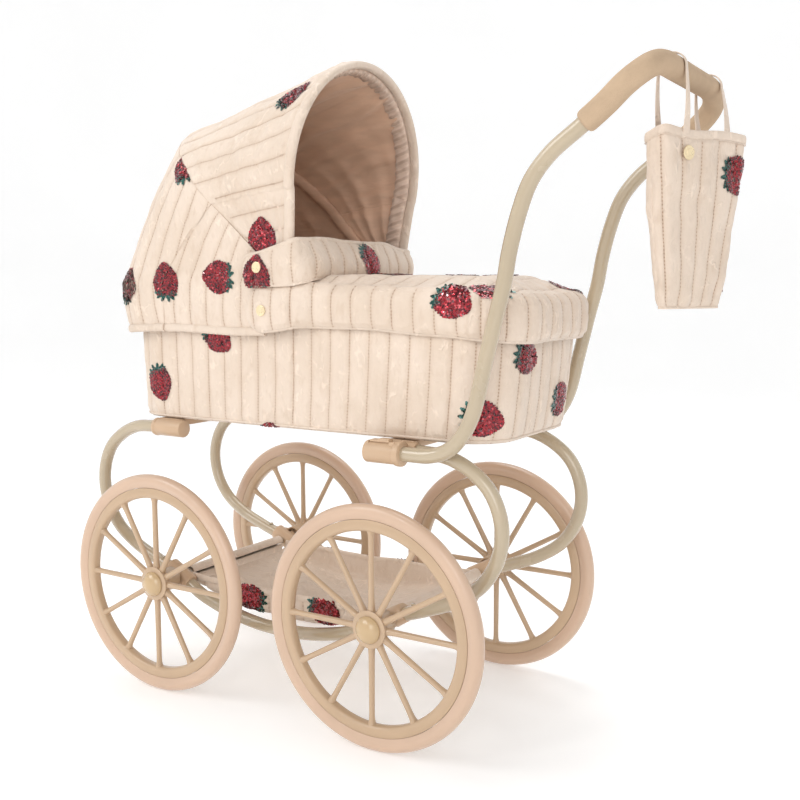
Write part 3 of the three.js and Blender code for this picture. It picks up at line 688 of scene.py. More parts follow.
def build_clamps():
    top = COT["bottom"] - 0.3
    for name, sign in SIDES:
        y, outer_y = sign * FRAME_Y, sign * HANDLE_Y
        low, high = sorted((sign * 97, sign * 105))
        s = Shape()
        barrel(s, y, TUBE_TOP_Z, 10.6, -193.5, -146.5)
        barrel(s, y, TUBE_TOP_Z, 11.2, -193.8, -188.5)
        s.block((-190, low, TUBE_TOP_Z), (-156, high, top), 0.8)
        s.build(f"tube_clamp_front_{name}", [CLAMP], "chassis", [f"front_clamp_{name}"], "clamp_plastic")

        s = Shape()
        barrel(s, outer_y, TUBE_TOP_Z, 12, 139.5, 179)
        barrel(s, outer_y, TUBE_TOP_Z, 13.6, 177, 184.6, 1.6)
        barrel(s, y, TUBE_TOP_Z, 10.6, 152, 192)
        web = sorted((y, outer_y))
        s.block((152, web[0], TUBE_TOP_Z - 6), (179, web[1], TUBE_TOP_Z + 6), 1.4)
        s.block((152, low, TUBE_TOP_Z), (186, high, top), 0.8)
        guard = sorted((sign * (HANDLE_Y - 5.6), sign * (HANDLE_Y + 7.6)))
        for x0, x1 in ((142.5, 145.2), (170.8, 178)):
            s.block((x0, guard[0], 326), (x1, guard[1], 334.6), 0.8)
        s.build(f"tube_clamp_rear_{name}", [CLAMP], "chassis", [f"rear_clamp_{name}"], "clamp_plastic")

        span = sorted((sign * (HANDLE_Y - 4), sign * (HANDLE_Y + 6)))
        low_z = 333.4       # the button clears the handle tube below it
        s = Shape()
        s.block((146, span[0], low_z), (170, span[1], low_z + 2.4), 0.7)
        s.block((156.5, span[0] + 0.4, low_z + 1), (169.4, span[1] - 0.4, low_z + 3.9), 0.9)
        s.build(f"latch_button_{name}", [CLAMP], f"latch_{name}", [f"handle_latch_{name}"], "clamp_plastic")
    for end, x0, x1 in (("front", -192, -156), ("rear", 152, 186)):    # ribs stand out below each bar
        s = Shape()
        s.block((x0, -95.4, 326), (x1, 95.4, top), 1.6)
        for x in np.linspace(x0 + 7, x1 - 7, 3):
            s.block((x - 1.2, -92, 323.6), (x + 1.2, 92, 327), 0.6)
        s.build(f"cross_bar_{end}", [CLAMP], "chassis", [f"{end}_crossbar"], "clamp_plastic")


# ------------------------------------------------------------------ wheels
def wheel_shape(out):
    """Rim, spokes and hub in one moulding; out is +1 when the outer face looks to +Y."""
    s = Shape()
    half_rim = [(106.0, -3.4), (106.8, -5.2), (108.6, -6.4), (111, -6.6), (116.5, -5.9), (118.5, -4.9)]
    rim = half_rim + [(r, -y) for r, y in half_rim[::-1]] + [(105.7, 0), half_rim[0]]
    s.lathe([(r, out * y) for r, y in rim], "y", (0, 0, 0), 128)
    hub = [(4.6, 6.5), (20.0, 6.5), (20.7, 5.9), (20.5, 4.4), (17.4, -3), (15, -7), (14.2, -9),
           (14, -25.8), (13.4, -26.5), (12.0, -26.5), (11.5, -25.9), (11.5, -18), (4.6, -18), (4.6, 6.5)]
    s.lathe([(r, out * y) for r, y in hub], "y", (0, 0, 0), 56)
    for k in range(6):
        a = math.pi * k / 3
        radial = np.array([math.cos(a), 0, math.sin(a)])
        across = np.array([-math.sin(a), 0, math.cos(a)])
        path = np.array([radial * r + np.array([0, out * -20.0, 0]) for r in (4.4, 11.8)])
        rib = np.array([[-0.7, -2.4], [0.7, -2.4], [0.7, 2.4], [-0.7, 2.4]])
        s.sweep(path, every(across, path), every((0, 1, 0), path), rib)
    reach = np.array([14, 17, 20, 24, 30, 45, 70, 90, 98, 102, 105, 108.0])
    thick = np.array([5.6, 5.0, 4.3, 3.8, 3.5, 3.35, 3.2, 3.1, 3.2, 3.5, 4.2, 5.4])
    for k in range(12):
        a = math.radians(30 * k)
        radial = np.array([math.sin(a), 0, math.cos(a)])
        across = np.array([math.cos(a), 0, -math.sin(a)])
        s.sweep(np.outer(reach, radial), every(across, reach), every((0, 1, 0), reach),
                circle(16) * (1, 1.06), scale=thick)
    return s


def tyre_shape():
    s = Shape()
    arc = np.radians(np.linspace(118, -118, 25))
    tread = [(127.3 + 7.7 * math.cos(a), 7.7 * math.sin(a)) for a in arc]
    foot = [(119.6, -5.4), (118.9, -4.8), (118.9, 4.8), (119.6, 5.4)]
    s.lathe(tread + foot + tread[:1], "y", (0, 0, 0), 144)
    return s


def cap_shape(out):
    s = Shape()
    dome = [(0.0, 16.6), (3, 16.4), (6, 15.8), (9, 14.6), (11.4, 13.1), (13.4, 11.2), (14.7, 9.4),
            (15.3, 8.2), (15.2, 7.5), (14.6, 7.0), (14.6, 6.8), (0, 6.8)]
    s.lathe([(r, out * y) for r, y in dome], "y", (0, 0, 0), 64)
    return s


def build_wheels():
    for end, way in ENDS:
        for name, sign in SIDES:
            spot = (way * AXLE_X, sign * WHEEL_Y, WHEEL_R)
            body = f"{end}_{name}_wheel"
            for shape, label, finish, node, slot in (
                (wheel_shape(sign), "spoked_wheel", WHEEL, "wheel", "wheel_plastic"),
                (tyre_shape(), "round_tyre", TYRE, "tyre", "tyre"),
                (cap_shape(sign), "domed_cap", CAP, "hub_cap", "cap_plastic"),
            ):
                shape.points = [p + np.asarray(spot) for p in shape.points]
                shape.build(f"{label}_{end}_{name}", [finish], body, [f"{node}_{end}_{name}"], slot)


# ------------------------------------------------------------------ handle
def handle_path():
    side = [
        (147, 322), (190, 322), (217, 323), (237, 329.5), (252, 343), (266, 367), (279, 417),
        (291.5, 467), (300, 499), (306, 532), (316, 569), (328, 598), (347, 621), (377, 643.5),
        (401, 662), (418, 677),
    ]
    corner = [(430, 688.5, 116), (436, 697.5, 98), (BAR[0], 701.5, 76), (BAR[0], BAR[1], 40)]
    near = [(x, -HANDLE_Y, z) for x, z in side] + [(x, -y, z) for x, z, y in corner]
    far = [(x, -y, z) for x, y, z in near][::-1]
    return smooth_curve(near + [(BAR[0], 0, BAR[1])] + far, 420)


def build_handle():
    path = handle_path()
    s = Shape()
    s.tube(path, HANDLE_TUBE_R, 32)
    s.build("handle_bar_tube", [PAINT], "handle", ["handle_tube"], "painted_tube")
    upper = resample(path[path[:, 2] > 646], 260)
    k = np.linspace(0, 1, len(upper))
    edge = np.minimum(k, 1 - k) * 400
    radius = GRIP_R * (0.86 + 0.14 * np.clip(edge / 3.5, 0, 1) ** 0.5)
    s = Shape()
    s.tube(upper, 1.0, 36, scale=radius)
    s.build("foam_sleeve", [FOAM], "handle", ["handle_grip"], "foam", sharp=60)


# ------------------------------------------------------------------ carrycot
def cot_ring(z, inset):
    k = (z - COT["bottom"]) / (COT["rim"] - COT["bottom"])
    spread = 3 * k
    ring = plan_ring(COT["head"] - spread / 2 + inset, COT["foot"] - 12 * (1 - k) ** 2 - inset,
                     COT["half"] - 3 + spread - inset, COT["corner"] - inset)
    flat = np.column_stack([ring, np.full(len(ring), z)])
    return resample(flat, 520, closed=True)


def build_cot():
    rows = np.concatenate([[334.2, 335.0, 337.0, 340.0], np.linspace(344, COT["rim"], 58)])
    inset = np.interp(rows, [333.6, 335.5, 339, 344], [5.5, 3.4, 1.9, 1.6])
    base = np.stack([cot_ring(z, i) for z, i in zip(rows, inset)], 1)
    across = np.tile(running(base, 0)[:, -1:], (1, len(rows)))
    length = across[-1, 0] + np.linalg.norm(base[-1, -1] - base[0, -1])
    across = across * (round(length / PITCH) * PITCH / length)
    along = np.tile(rows, (len(base), 1))
    normal = grid_normals(base, closed=True)
    fade = np.clip((rows - 338) / 7, 0, 1) * np.clip((COT["rim"] - rows) / 6, 0.2, 1)
    relief = channels(across, along, seed=11) * fade
    relief += noise(across / 70, along / 55, 12) * 0.9 * fade
    outer = base + normal * relief[..., None]
    floor = COT["bottom"] + 6
    inner_rows = np.linspace(floor, COT["rim"], 24)
    inner = np.stack([cot_ring(z, COT["wall"] - 0.4) for z in inner_rows], 1)
    wave = 0.5 + noise(across[:, :1] / 24, inner_rows / 17, 14) * 0.5
    inner -= grid_normals(inner, closed=True) * wave[..., None]
    s = Shape()
    s.pouch(outer, inner, np.stack([across, along], -1))
    s.binding(cot_ring(COT["rim"] - 1.5, 2.6), superellipse(3.6, 4.2, 14, 2.3))
    s.tube(cot_ring(337.2, 2.2), 1.5, 10, closed=True, slot=1)
    cot = s.build("quilted_cot", [QUILT, PLAIN], "carrycot", ["cot_body"], "quilt", fix=False)
    return cot


def puffed(obj, voxel, pressure, cap):
    """Blows a closed pad up a little with a cloth simulation, no point moving more than cap."""
    scene = bpy.context.scene
    remesh = obj.modifiers.new("even", "REMESH")
    remesh.mode = "VOXEL"
    remesh.voxel_size = voxel
    obj.data = applied_mesh(obj)
    rest = np.array([v.co for v in obj.data.vertices])
    cloth = obj.modifiers.new("puff", "CLOTH")
    cloth.settings.use_pressure = True
    cloth.settings.uniform_pressure_force = pressure
    cloth.settings.effector_weights.gravity = 0
    cloth.point_cache.frame_start = 1
    cloth.point_cache.frame_end = 20
    for number in range(1, 21):
        scene.frame_set(number)
    moved = applied_mesh(obj)
    scene.frame_set(1)
    points = np.array([v.co for v in moved.vertices])
    shift = points - rest
    far = np.linalg.norm(shift, axis=1, keepdims=True)
    points = rest + shift * np.minimum(1, cap / np.maximum(far, 1e-9))
    moved.vertices.foreach_set("co", points.astype(np.float32).ravel())
    obj.data = moved


def build_mattress():
    low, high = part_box("mattress")
    x0, x1 = low.x * 1000 + PLAN_CENTRE + 5, high.x * 1000 + PLAN_CENTRE - 5
    half = high.y * 1000 - 4
    z0, z1 = low.z * 1000 + 0.6, high.z * 1000 - 3.5
    s = Shape()
    levels = [(z0, 9), (z0 + 1.5, 5), (z0 + 5, 1.5), (z0 + 9, 0.3), (z1 - 4, 1.5), (z1 - 1, 6), (z1, 13)]
    rings = [plan_ring(x0 + i, x1 - i, half - i, 40 - i) for _, i in levels]
    grid = np.stack([resample(np.column_stack([r, np.full(len(r), z)]), 240, closed=True)
                     for r, (z, _) in zip(rings, levels)], 1)
    s.grid(grid, closed=True)
    s.cap(grid[:, 0], flip=True)
    s.cap(grid[:, -1])
    pad = s.build("cot_mattress", [PLAIN])
    puffed(pad, voxel=0.005, pressure=4, cap=0.004)
    pad.data.materials.clear()
    pad.data.materials.append(PLAIN)
    points = np.array([v.co for v in pad.data.vertices])
    mm = points * 1000
    mm[:, 0] += PLAN_CENTRE
    top = np.clip((mm[:, 2] - (z0 + z1) / 2) / 6, 0, 1)
    ridges = np.abs(((mm[:, 0] / (2 * PITCH)) % 1) - 0.5) * 2
    edge = np.clip((half - np.abs(mm[:, 1])) / 18, 0, 1)
    mm[:, 2] -= top * edge * (ridges ** 8) * 2.2
    mm[:, 2] = np.clip(mm[:, 2], low.z * 1000 + 0.3, high.z * 1000)
    pad.data.vertices.foreach_set("co", metres(mm).astype(np.float32).ravel())
    pad.data.shade_smooth()
    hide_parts("mattress")
    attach(pad, "carrycot")


# ------------------------------------------------------------------ hood
def arch(bow, t, start):
    """Reach from the pivot axis and place across, from the left foot (t = 0) to the right."""
    side = np.where(t < 0.5, -1.0, 1.0)
    k = np.minimum(t, 1 - t)
    leg = 0.2
    low = bow["spring"] - 0.15 * bow["rise"]
    f = np.clip(k / leg, 0, 1)
    leg_y = bow["foot"] + (bow["half"] * 0.98 - bow["foot"]) * f ** 1.5
    leg_reach = start + (low - start) * f
    a = -0.15 + (math.pi / 2 + 0.15) * np.clip((k - leg) / (0.5 - leg), 0, 1)
    c, s = np.clip(np.cos(a), 0, 1), np.sin(a)
    power = 2 / bow["power"]
    over = bow["spring"] + bow["rise"] * np.sign(s) * np.abs(s) ** power
    over_y = bow["half"] * c ** power
    up = k < leg
    return np.where(up, leg_reach, over), side * np.where(up, leg_y, over_y)


def skin(lean, cover):
    first, second = (FRONT_BOW, MID_BOW) if lean > MID_BOW["lean"] else (MID_BOW, BELT)
    k = (first["lean"] - lean) / (first["lean"] - second["lean"])
    mixed = {key: first[key] + (second[key] - first[key]) * k for key in first}
    return {**mixed, **{key: mixed[key] + cover for key in ("rise", "half", "foot")}}


def span_sag(lean):
    """Share of the reach lost where the cloth runs straight from bow to bow."""
    first, last, deep = (FRONT_BOW, MID_BOW, 0.118) if lean > MID_BOW["lean"] else (MID_BOW, BELT, 0.062)
    k = np.clip((first["lean"] - lean) / (first["lean"] - last["lean"]), 0, 1)
    return deep * (4 * k * (1 - k)) ** 0.85


def hood_row(lean, t, cover, start=22.0):
    reach, y = arch(skin(lean, cover), t, start)
    reach = reach * (1 - span_sag(lean))
    a = math.radians(lean)
    return np.stack([PIVOT[0] + reach * math.sin(a), y, PIVOT[1] + reach * math.cos(a)], 1)


def fore_of(lean):
    """Direction square to a bow, towards the foot end when the bow stands up."""
    return math.cos(math.radians(lean)), 0, -math.sin(math.radians(lean))


def skirt_row(u, t, cover):
    """Row of the hood's lower edge: u is 0 at the belt line and 1 at the hem."""
    tuck = u * u
    belt = skin(BELT["lean"], cover)
    low = {**belt, "half": belt["half"] - 1.5 * tuck, "foot": belt["foot"] - 0.5 * tuck,
           "rise": belt["rise"] - 26 * tuck, "power": belt["power"] + tuck}
    reach, y = arch(low, t, 26.0)
    return np.stack([PIVOT[0] - reach, y, np.full(len(t), PIVOT[1] - 2 - (PIVOT[1] - 2 - HEM_Z) * u)], 1)


def outward(p, centre):
    n = grid_normals(p)
    return n if ((p - np.asarray(centre)) * n).sum() > 0 else -n


def even_t(make_row, count):
    """Arch parameters that space a row's points evenly."""
    fine = np.linspace(0, 1, 900)
    row = make_row(fine)
    s = running(row, 0)
    return np.interp(np.linspace(0, s[-1], count), s, fine), s[-1]


def build_hood_front():
    t, length = even_t(lambda q: hood_row(-20, q, HOOD_OUT), 330)
    leans = np.linspace(FRONT_BOW["lean"] + 1.5, MID_BOW["lean"] + 0.2, 84)
    base = np.stack([hood_row(lean, t, HOOD_SEAM) for lean in leans])
    across = np.tile(np.linspace(-length / 2, length / 2, len(t)), (len(leans), 1))
    along = running(base, 0)
    centre_along = along[:, len(t) // 2][:, None]
    low_end = 1 - fade_in(length / 2 - np.abs(across) - 60, 60)
    base[..., 1] -= np.sign(base[..., 1]) * 2.2 * low_end
    normal = outward(base, HOOD_CENTRE)
    edge = fade_in(along, 6) * fade_in(along[-1:] - along, 7)
    relief = channels(across, centre_along, PUFF * 0.8, seed=21) * edge
    relief += (noise(across / 46, along / 38, 22) * 1.5 + noise(across / 21, along / 26, 27) * 0.7) * edge
    share = np.linspace(0, 1, len(leans))[:, None]
    low_down = np.clip((np.abs(across) / (length / 2) - 0.15) / 0.6, 0, 1)
    crease = np.zeros_like(relief)
    for place, width, deep in ((0.62, 0.06, 3.4), (0.80, 0.04, 1.8), (0.36, 0.07, 2.2), (0.18, 0.04, 1.4)):
        wander = place + 0.05 * noise(across / 90, 0.0, 28)
        crease += deep * np.exp(-((share - wander) / width) ** 2) * low_down * fade_in(along[-1:] - along, 30)
    relief -= crease
    outer = base + normal * relief[..., None]
    inside = np.stack([hood_row(lean, t, HOOD_IN) for lean in leans])
    inside[..., 1] -= np.sign(inside[..., 1]) * 1.2 * low_end
    folds = noise(across / 15, along / 90, 24) * 3.0 + noise(across / 34, along / 120, 25) * 2.4
    for place, deep in ((-205, 2.6), (-160, 3.4), (-112, 2.8), (-70, 3.4), (-26, 2.4),
                        (30, 3.0), (78, 3.6), (118, 2.6), (160, 3.6), (208, 2.8)):
        wander = place + 16 * noise(along / 70, place / 9, 29) + 0.1 * (along - 60)
        folds += deep * np.exp(-((across - wander) / 7.5) ** 2)
    folds = np.maximum(folds + crease, crease - 0.7)
    inside -= normal * ((1.2 + folds) * fade_in(along, 12) * fade_in(along[-1:] - along, 9))[..., None]
    s = Shape()
    s.sheet(outer, inside, np.stack([across, centre_along + 0 * across], -1), slots=(0, 1), turned=True)
    # bound edge of the hoop
    fore = every(fore_of(FRONT_BOW["lean"]), t)
    lip = hood_row(FRONT_BOW["lean"], t, HOOD_OUT - 4.2) + fore * 7.4
    out = unit(np.cross(tangents(lip), fore))
    out = out if (out * (lip - np.array([0, 0, 520.0]))).sum() > 0 else -out
    s.sweep(lip, out, fore, superellipse(4.4, 6.4, 18, 2.2), slot=2)
    # gathered elastic casing round the bow
    casing = hood_row(FRONT_BOW["lean"], t, -1.6) - fore * 6.4
    ring = superellipse(4.6, 10.4, 28, 2.3)
    arc = across[0][:, None]
    pleat = np.sin(arc / 1.75 + ring[:, 1] / 4.2 + 0.9 * np.sin(arc / 23))
    pleat = 1.1 * pleat + 0.6 * noise(arc / 5, ring[:, 1] / 7, 26)
    depth = np.where(ring[:, 0] < 0, 0.36, 0.04)
    ruched = casing[:, None] + out[:, None] * (ring[:, 0] * (1 + depth * pleat))[..., None]
    ruched = ruched + fore[:, None] * (ring[:, 1] * (1 + 0.03 * pleat))[..., None]
    s.grid(ruched, around=True, slot=3)
    s.cap(ruched[0], 3)
    s.cap(ruched[-1], 3, flip=True)
    hood = s.build("hood_front_cover", [QUILT, LINING, PLAIN, HEM_LINING], None, ["hood_front_panel"],
                   "quilt", fix=False)
    return hood


def level_arcs(p):
    """Distance round the hood from its back middle line, measured level, for every grid point."""
    middle = p.shape[1] // 2
    levels = np.linspace(p[..., 2].min(), p[..., 2].max(), 120)
    plan = np.array([[np.interp(levels, column[::-1, 2], column[::-1, k]) for k in (0, 1)]
                     for column in p.transpose(1, 0, 2)])
    arc = running(plan.transpose(0, 2, 1), 0)
    arc = arc - arc[middle]
    return np.stack([np.interp(p[:, j, 2], levels, arc[j]) for j in range(p.shape[1])], 1)


def build_hood_back():
    t, _ = even_t(lambda q: hood_row(-75, q, HOOD_OUT), 330)
    leans = np.linspace(MID_BOW["lean"] - 0.2, BELT["lean"] + 0.6, 66)
    lows = np.linspace(0.0, 1.0, 26)

    def whole(cover):
        return np.stack([hood_row(lean, t, cover) for lean in leans] + [skirt_row(u, t, cover) for u in lows])

    base, inside = whole(HOOD_SEAM), whole(HOOD_IN - 0.4)
    across = level_arcs(base)
    along = running(base, 0)
    normal = outward(base, HOOD_CENTRE)
    near_hem = along[-1:] - along
    edge = fade_in(along, 7) * fade_in(near_hem, 9)
    relief = channels(across, along, PUFF * 0.85, seed=31) * edge
    relief += (noise(across / 44, along / 52, 32) * 1.6 + noise(across / 18, along / 30, 37) * 0.6) * edge
    outer = base + normal * relief[..., None]
    folds = noise(across / 40, along / 12, 34) * 1.4 + noise(across / 70, along / 30, 35) * 1.6
    quiet = fade_in(along, 9) * fade_in(near_hem - 40, 20)
    inside -= normal * ((1.0 + np.maximum(folds, -0.6)) * quiet)[..., None]
    s = Shape()
    s.sheet(outer, inside, np.stack([across, along], -1), slots=(0, 1), turned=True)
    # underlap that stays behind the front cover when the hood folds
    under_leans = np.linspace(MID_BOW["lean"] - 1.0, MID_BOW["lean"] + 4, 8)
    lap = np.stack([hood_row(lean, t, HOOD_IN + 0.6, 60.0) for lean in under_leans])
    lap_in = np.stack([hood_row(lean, t, HOOD_IN + 0.1, 60.0) for lean in under_leans])
    s.sheet(lap, lap_in, None, slots=(2, 1))
    # bound hem
    hem = skirt_row(0.97, t, (HOOD_OUT + HOOD_IN) / 2 - 0.4)
    hem[:, 2] += 1.2 * np.sin(hem[:, 0] / 31) + 0.8 * noise(across[-1] / 36, 0.0, 33)
    up = every((0, 0, 1), t)
    out = unit(np.cross(tangents(hem), up))
    s.sweep(hem, out, up, superellipse(3.7, 5.2, 16, 2.3), slot=2)
    hood = s.build("hood_back_cover", [QUILT, LINING, PLAIN], None, ["hood_back_panel", "hood_skirt"],
                   "quilt", fix=False)
    return hood


def build_hood():
    front, back = build_hood_front(), build_hood_back()

    def crown(bow, reach):
        """Point in the middle of a bow, listed as where a blend starts or ends."""
        a = math.radians(bow["lean"])
        return tuple(metres([(PIVOT[0] + reach * math.sin(a), 0, PIVOT[1] + reach * math.cos(a))])[0])

    middle = crown(MID_BOW, 281.0)
    blends = (
        (front, "hood_middle", "hood_front", middle, crown(FRONT_BOW, 258.0)),
        (back, "carrycot", "hood_middle", crown(BELT, 286.0), middle),
    )
    # casing of the middle bow, inside the lining
    t, _ = even_t(lambda q: hood_row(MID_BOW["lean"], q, 0, 40.0), 200)
    path = hood_row(MID_BOW["lean"], t, -0.6, 40.0)
    fore = every(fore_of(MID_BOW["lean"]), t)
    out = unit(np.cross(tangents(path), fore))
    s = Shape()
    station = np.arange(len(t))
    wobble = 1 + 0.05 * noise(station / 3.0, 0.0, 41)
    end = fade_in(np.minimum(station, station[::-1]), 22)
    rings = np.stack([superellipse(4.2 + 0.4 * e, 3.6 + 3.4 * e, 16, 2.4) for e in end])
    s.sweep(path, out, fore, rings, scale=wobble)
    s.build("middle_bow_casing", [LINING], "hood_middle", [], "quilt")
    return blends


# ------------------------------------------------------------------ apron and flap
def apron_path():
    """Plan line of the apron's skirt, from the left tab round the foot end to the right tab."""
    tab = [(x, -TAB_Y) for x in np.linspace(TAB_END, 26, 10)]
    run = [(26 + 44 * k, -TAB_Y + (TAB_Y - APRON["half"]) * eased(k)) for k in np.linspace(0, 1, 12)[1:]]
    corner = APRON["corner"]
    centre_x, centre_y = APRON["foot"] - corner, corner - APRON["half"]
    bend = [(centre_x + corner * math.cos(q), centre_y + corner * math.sin(q))
            for q in np.radians(np.linspace(-90, 0, 16))]
    near = np.array(tab + run + bend)
    far = near[::-1] * (1, -1)
    line = np.column_stack([np.vstack([near, far]), np.zeros(2 * len(near))])
    return resample(line, 640)


def build_apron():
    path = apron_path()
    side_out = tangents(path)
    out = np.stack([side_out[:, 1], -side_out[:, 0], np.zeros(len(path))], 1)
    s_run = running(path, 0)
    length = s_run[-1]
    x = path[:, 0]
    hem_z = np.interp(x, [TAB_END, 4, 45, 145, 242, 309], [446, 448, 453, 453, 446, 441])
    hem_z += 0.9 * noise(s_run / 37, 0.0, 51)
    # the tab is cut round at its free end
    from_end = np.minimum(s_run, length - s_run)
    cut = rounded_end(from_end, 26)
    hem_z = hem_z + cut * 22
    crease_z = np.interp(x, [TAB_END, 20, 60, 90, 240, 309], [497, 498, 502, 498, 495, 490]) - cut * 22
    v = np.linspace(0, 1, 40)
    across = np.tile((s_run - length / 2)[:, None], (1, len(v)))
    height = hem_z[:, None] + (crease_z - hem_z)[:, None] * v
    shoulder = (2.4 + 5.6 * fade_in(x - 45, 45))[:, None] * np.clip((v - 0.7) / 0.3, 0, 1)[None] ** 2.2
    puff_out = 2.6 * np.sin(math.pi * v)[None] ** 0.8 - 2.6 - shoulder
    base = path[:, None] + out[:, None] * puff_out[..., None]
    base[..., 2] = height
    edge = fade_in(v * 52, 8)[None] * fade_in(from_end, 8)[:, None]
    relief = channels(across, height, seed=52) * edge * (1 - 0.45 * v ** 8)
    relief += (noise(across / 60, height / 45, 53) * 1.1 + noise(across / 23, height / 20, 57) * 0.5) * edge
    normal = grid_normals(base)
    normal = normal if (normal * out[:, None]).sum() > 0 else -normal
    skirt = base + normal * relief[..., None]

    # top: from the crease to the middle line, over stations beyond the head edge
    first = int(np.argmax(x > APRON["head"] - 2))
    keep = slice(first, len(x) - first)
    crease = skirt[keep, -1]
    centre_x = np.clip(crease[:, 0], APRON["head"], APRON["foot"] - APRON["half"] * 0.9)
    centre = np.stack([centre_x, np.zeros(len(centre_x)), np.full(len(centre_x), 505.0)], 1)
    w = np.linspace(0, 1, 46) ** 1.15
    top = crease[:, None] * (1 - w)[None, :, None] + centre[:, None] * w[None, :, None]
    level = 505.4 + 4.4 * fade_in(top[..., 0] - 57, 12) * (1 - 0.5 * fade_in(top[..., 0] - 110, 90))
    slope = 0.2 + 0.34 * fade_in(crease[:, :1] - 75, 70)
    dome = level - (level - crease[:, 2:]) * (1 - fade_in(w[None], slope))
    sag = noise(top[..., 0] / 62, top[..., 1] / 48, 54) * 1.1
    top_relief = channels(top[..., 0], top[..., 1], PUFF * 0.9, seed=55)
    away = fade_in(w, 0.12)[None]
    top[..., 2] = dome + (sag + top_relief - 1.0) * away
    top[:, 0] = crease

    s = Shape()
    s.grid(skirt, np.stack([across, height], -1))
    s.grid(top, np.stack([top[..., 0], top[..., 1]], -1))
    apron = s.build("quilted_apron", [QUILT, PLAIN], weld=0.05)
    solid = apron.modifiers.new("thickness", "SOLIDIFY")
    solid.thickness = APRON_THICK / 1000
    solid.offset = -1
    solid.material_offset = 1
    solid.material_offset_rim = 1
    apron.data = applied_mesh(apron)
    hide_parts("apron")
    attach(apron, "apron_body")

    up = every((0, 0, 1), path)
    s = Shape()
    s.sweep(skirt[:, 0] - out * 2.5 + up * 1.2, out, up, superellipse(2.6, 3.6, 14, 2.3))
    s.build("apron_hem", [PLAIN], "apron_body", [], "quilt")
    return apron


def flap_path(half, front, bend):
    """Plan line of the flap, from the left wing round the front to the right wing."""
    a = np.radians(np.linspace(-90, 0, 14))
    arc = [(front - bend + bend * math.cos(q), -half + bend + bend * math.sin(q)) for q in a]
    near = np.array([(TAB_END, -half), (0, -half)] + arc)
    line = np.vstack([near, near[::-1] * (1, -1)])
    return resample(np.column_stack([line, np.zeros(len(line))]), 260)


def build_flap():
    path = flap_path(TAB_Y + 0.8, 61.0, 26.0)
    path[:, 0] -= 11.0 * fade_in(path[:, 1] + 30, 150) * fade_in(path[:, 0], 50)
    t = tangents(path)
    out = np.stack([t[:, 1], -t[:, 0], np.zeros(len(path))], 1)
    s_run = running(path, 0)
    from_end = np.minimum(s_run, s_run[-1] - s_run)
    x = path[:, 0]
    low = np.interp(x, [TAB_END, 24, 42, 57, 61], [498.4, 499.0, 500.0, 503.5, 506.4])
    low += noise(s_run / 30, 0.0, 64) * 0.3
    rise = np.interp(x, [TAB_END, -4, 22, 46, 61], [532, 535, 542, 549, 549])
    rise += np.interp(np.abs(path[:, 1]), [0, 60, 110], [-1.0, 1.5, 0]) - 8 * fade_in(path[:, 1] - 40, 70)
    rise += noise(s_run / 40, 0.0, 61) * 1.3
    corner = rounded_end(from_end, 9)
    v = np.linspace(0, 1, 34)
    height = low[:, None] + 4 * corner[:, None] + ((rise - 9 * corner) - low)[:, None] * v
    front = np.interp(x, [24, 60], [0, 1])[:, None]
    belly = (2.0 + 3.2 * front) * np.sin(math.pi * v ** 0.85)[None]
    lean = -np.interp(x, [42, 61], [0, 1])[:, None] * 10.5 * (v ** 1.7)[None]
    across = np.tile((s_run - s_run[-1] / 2)[:, None], (1, len(v)))
    rounded = np.clip(1 - (2 * np.clip(v, 0.01, 0.99) - 1) ** 4, 0, 1) ** 0.6
    relief = channels(across + 3.0 * v, height, PUFF, seed=62) * rounded
    relief += (noise(across / 33, height / 26, 63) * 1.3 + noise(across / 13, height / 9, 65) * 0.6) * rounded
    relief *= fade_in(from_end, 7)[:, None]
    pinch = np.exp(-((x - 40) / 14) ** 2)[:, None] * (1 - v)[None] ** 2 * 2.2
    outer = path[:, None] + out[:, None] * (belly - 0.6 + relief + lean - pinch)[..., None]
    outer[..., 2] = height
    inner = path[:, None] + out[:, None] * (belly * 0.55 - 2.6 - 0.35 * relief + lean - pinch)[..., None]
    inner[..., 2] = height
    s = Shape()
    s.sheet(outer, inner, np.stack([across, height], -1))
    rim = (outer[:, -1] + inner[:, -1]) / 2
    up = every((0, 0, 1), rim)
    s.sweep(rim, out, up, superellipse(2.6, 3.0, 12, 2.2), slot=1)
    foot = (outer[:, 0] + inner[:, 0]) / 2
    s.sweep(foot, out, up, superellipse(2.0, 1.8, 12, 2.2), slot=1)
    flap = s.build("quilted_flap", [QUILT, PLAIN], "flap_body", ["windbreak_flap"], "quilt", fix=False)
    return flap


def snap_shape(centre, out, radius=6.4, height=2.0):
    """Domed snap head with a rolled edge and a pressed ring; out is its outward direction."""
    profile = np.array([(0, 0.9), (0.45, 0.88), (0.5, 0.7), (0.8, 1), (0.95, 0.8), (1, 0.45), (0.93, 0), (0, 0)])
    profile = profile * (radius, height)
    n = unit(np.asarray(out, float))
    u = unit(np.cross(n, [0.3, 0.2, 1.0]))
    w = np.cross(n, u)
    p = np.array([[centre + n * h + r * (u * math.cos(q) + w * math.sin(q)) for r, h in profile]
                  for q in angles(36)])
    s = Shape()
    s.grid(p, closed=True)
    return s


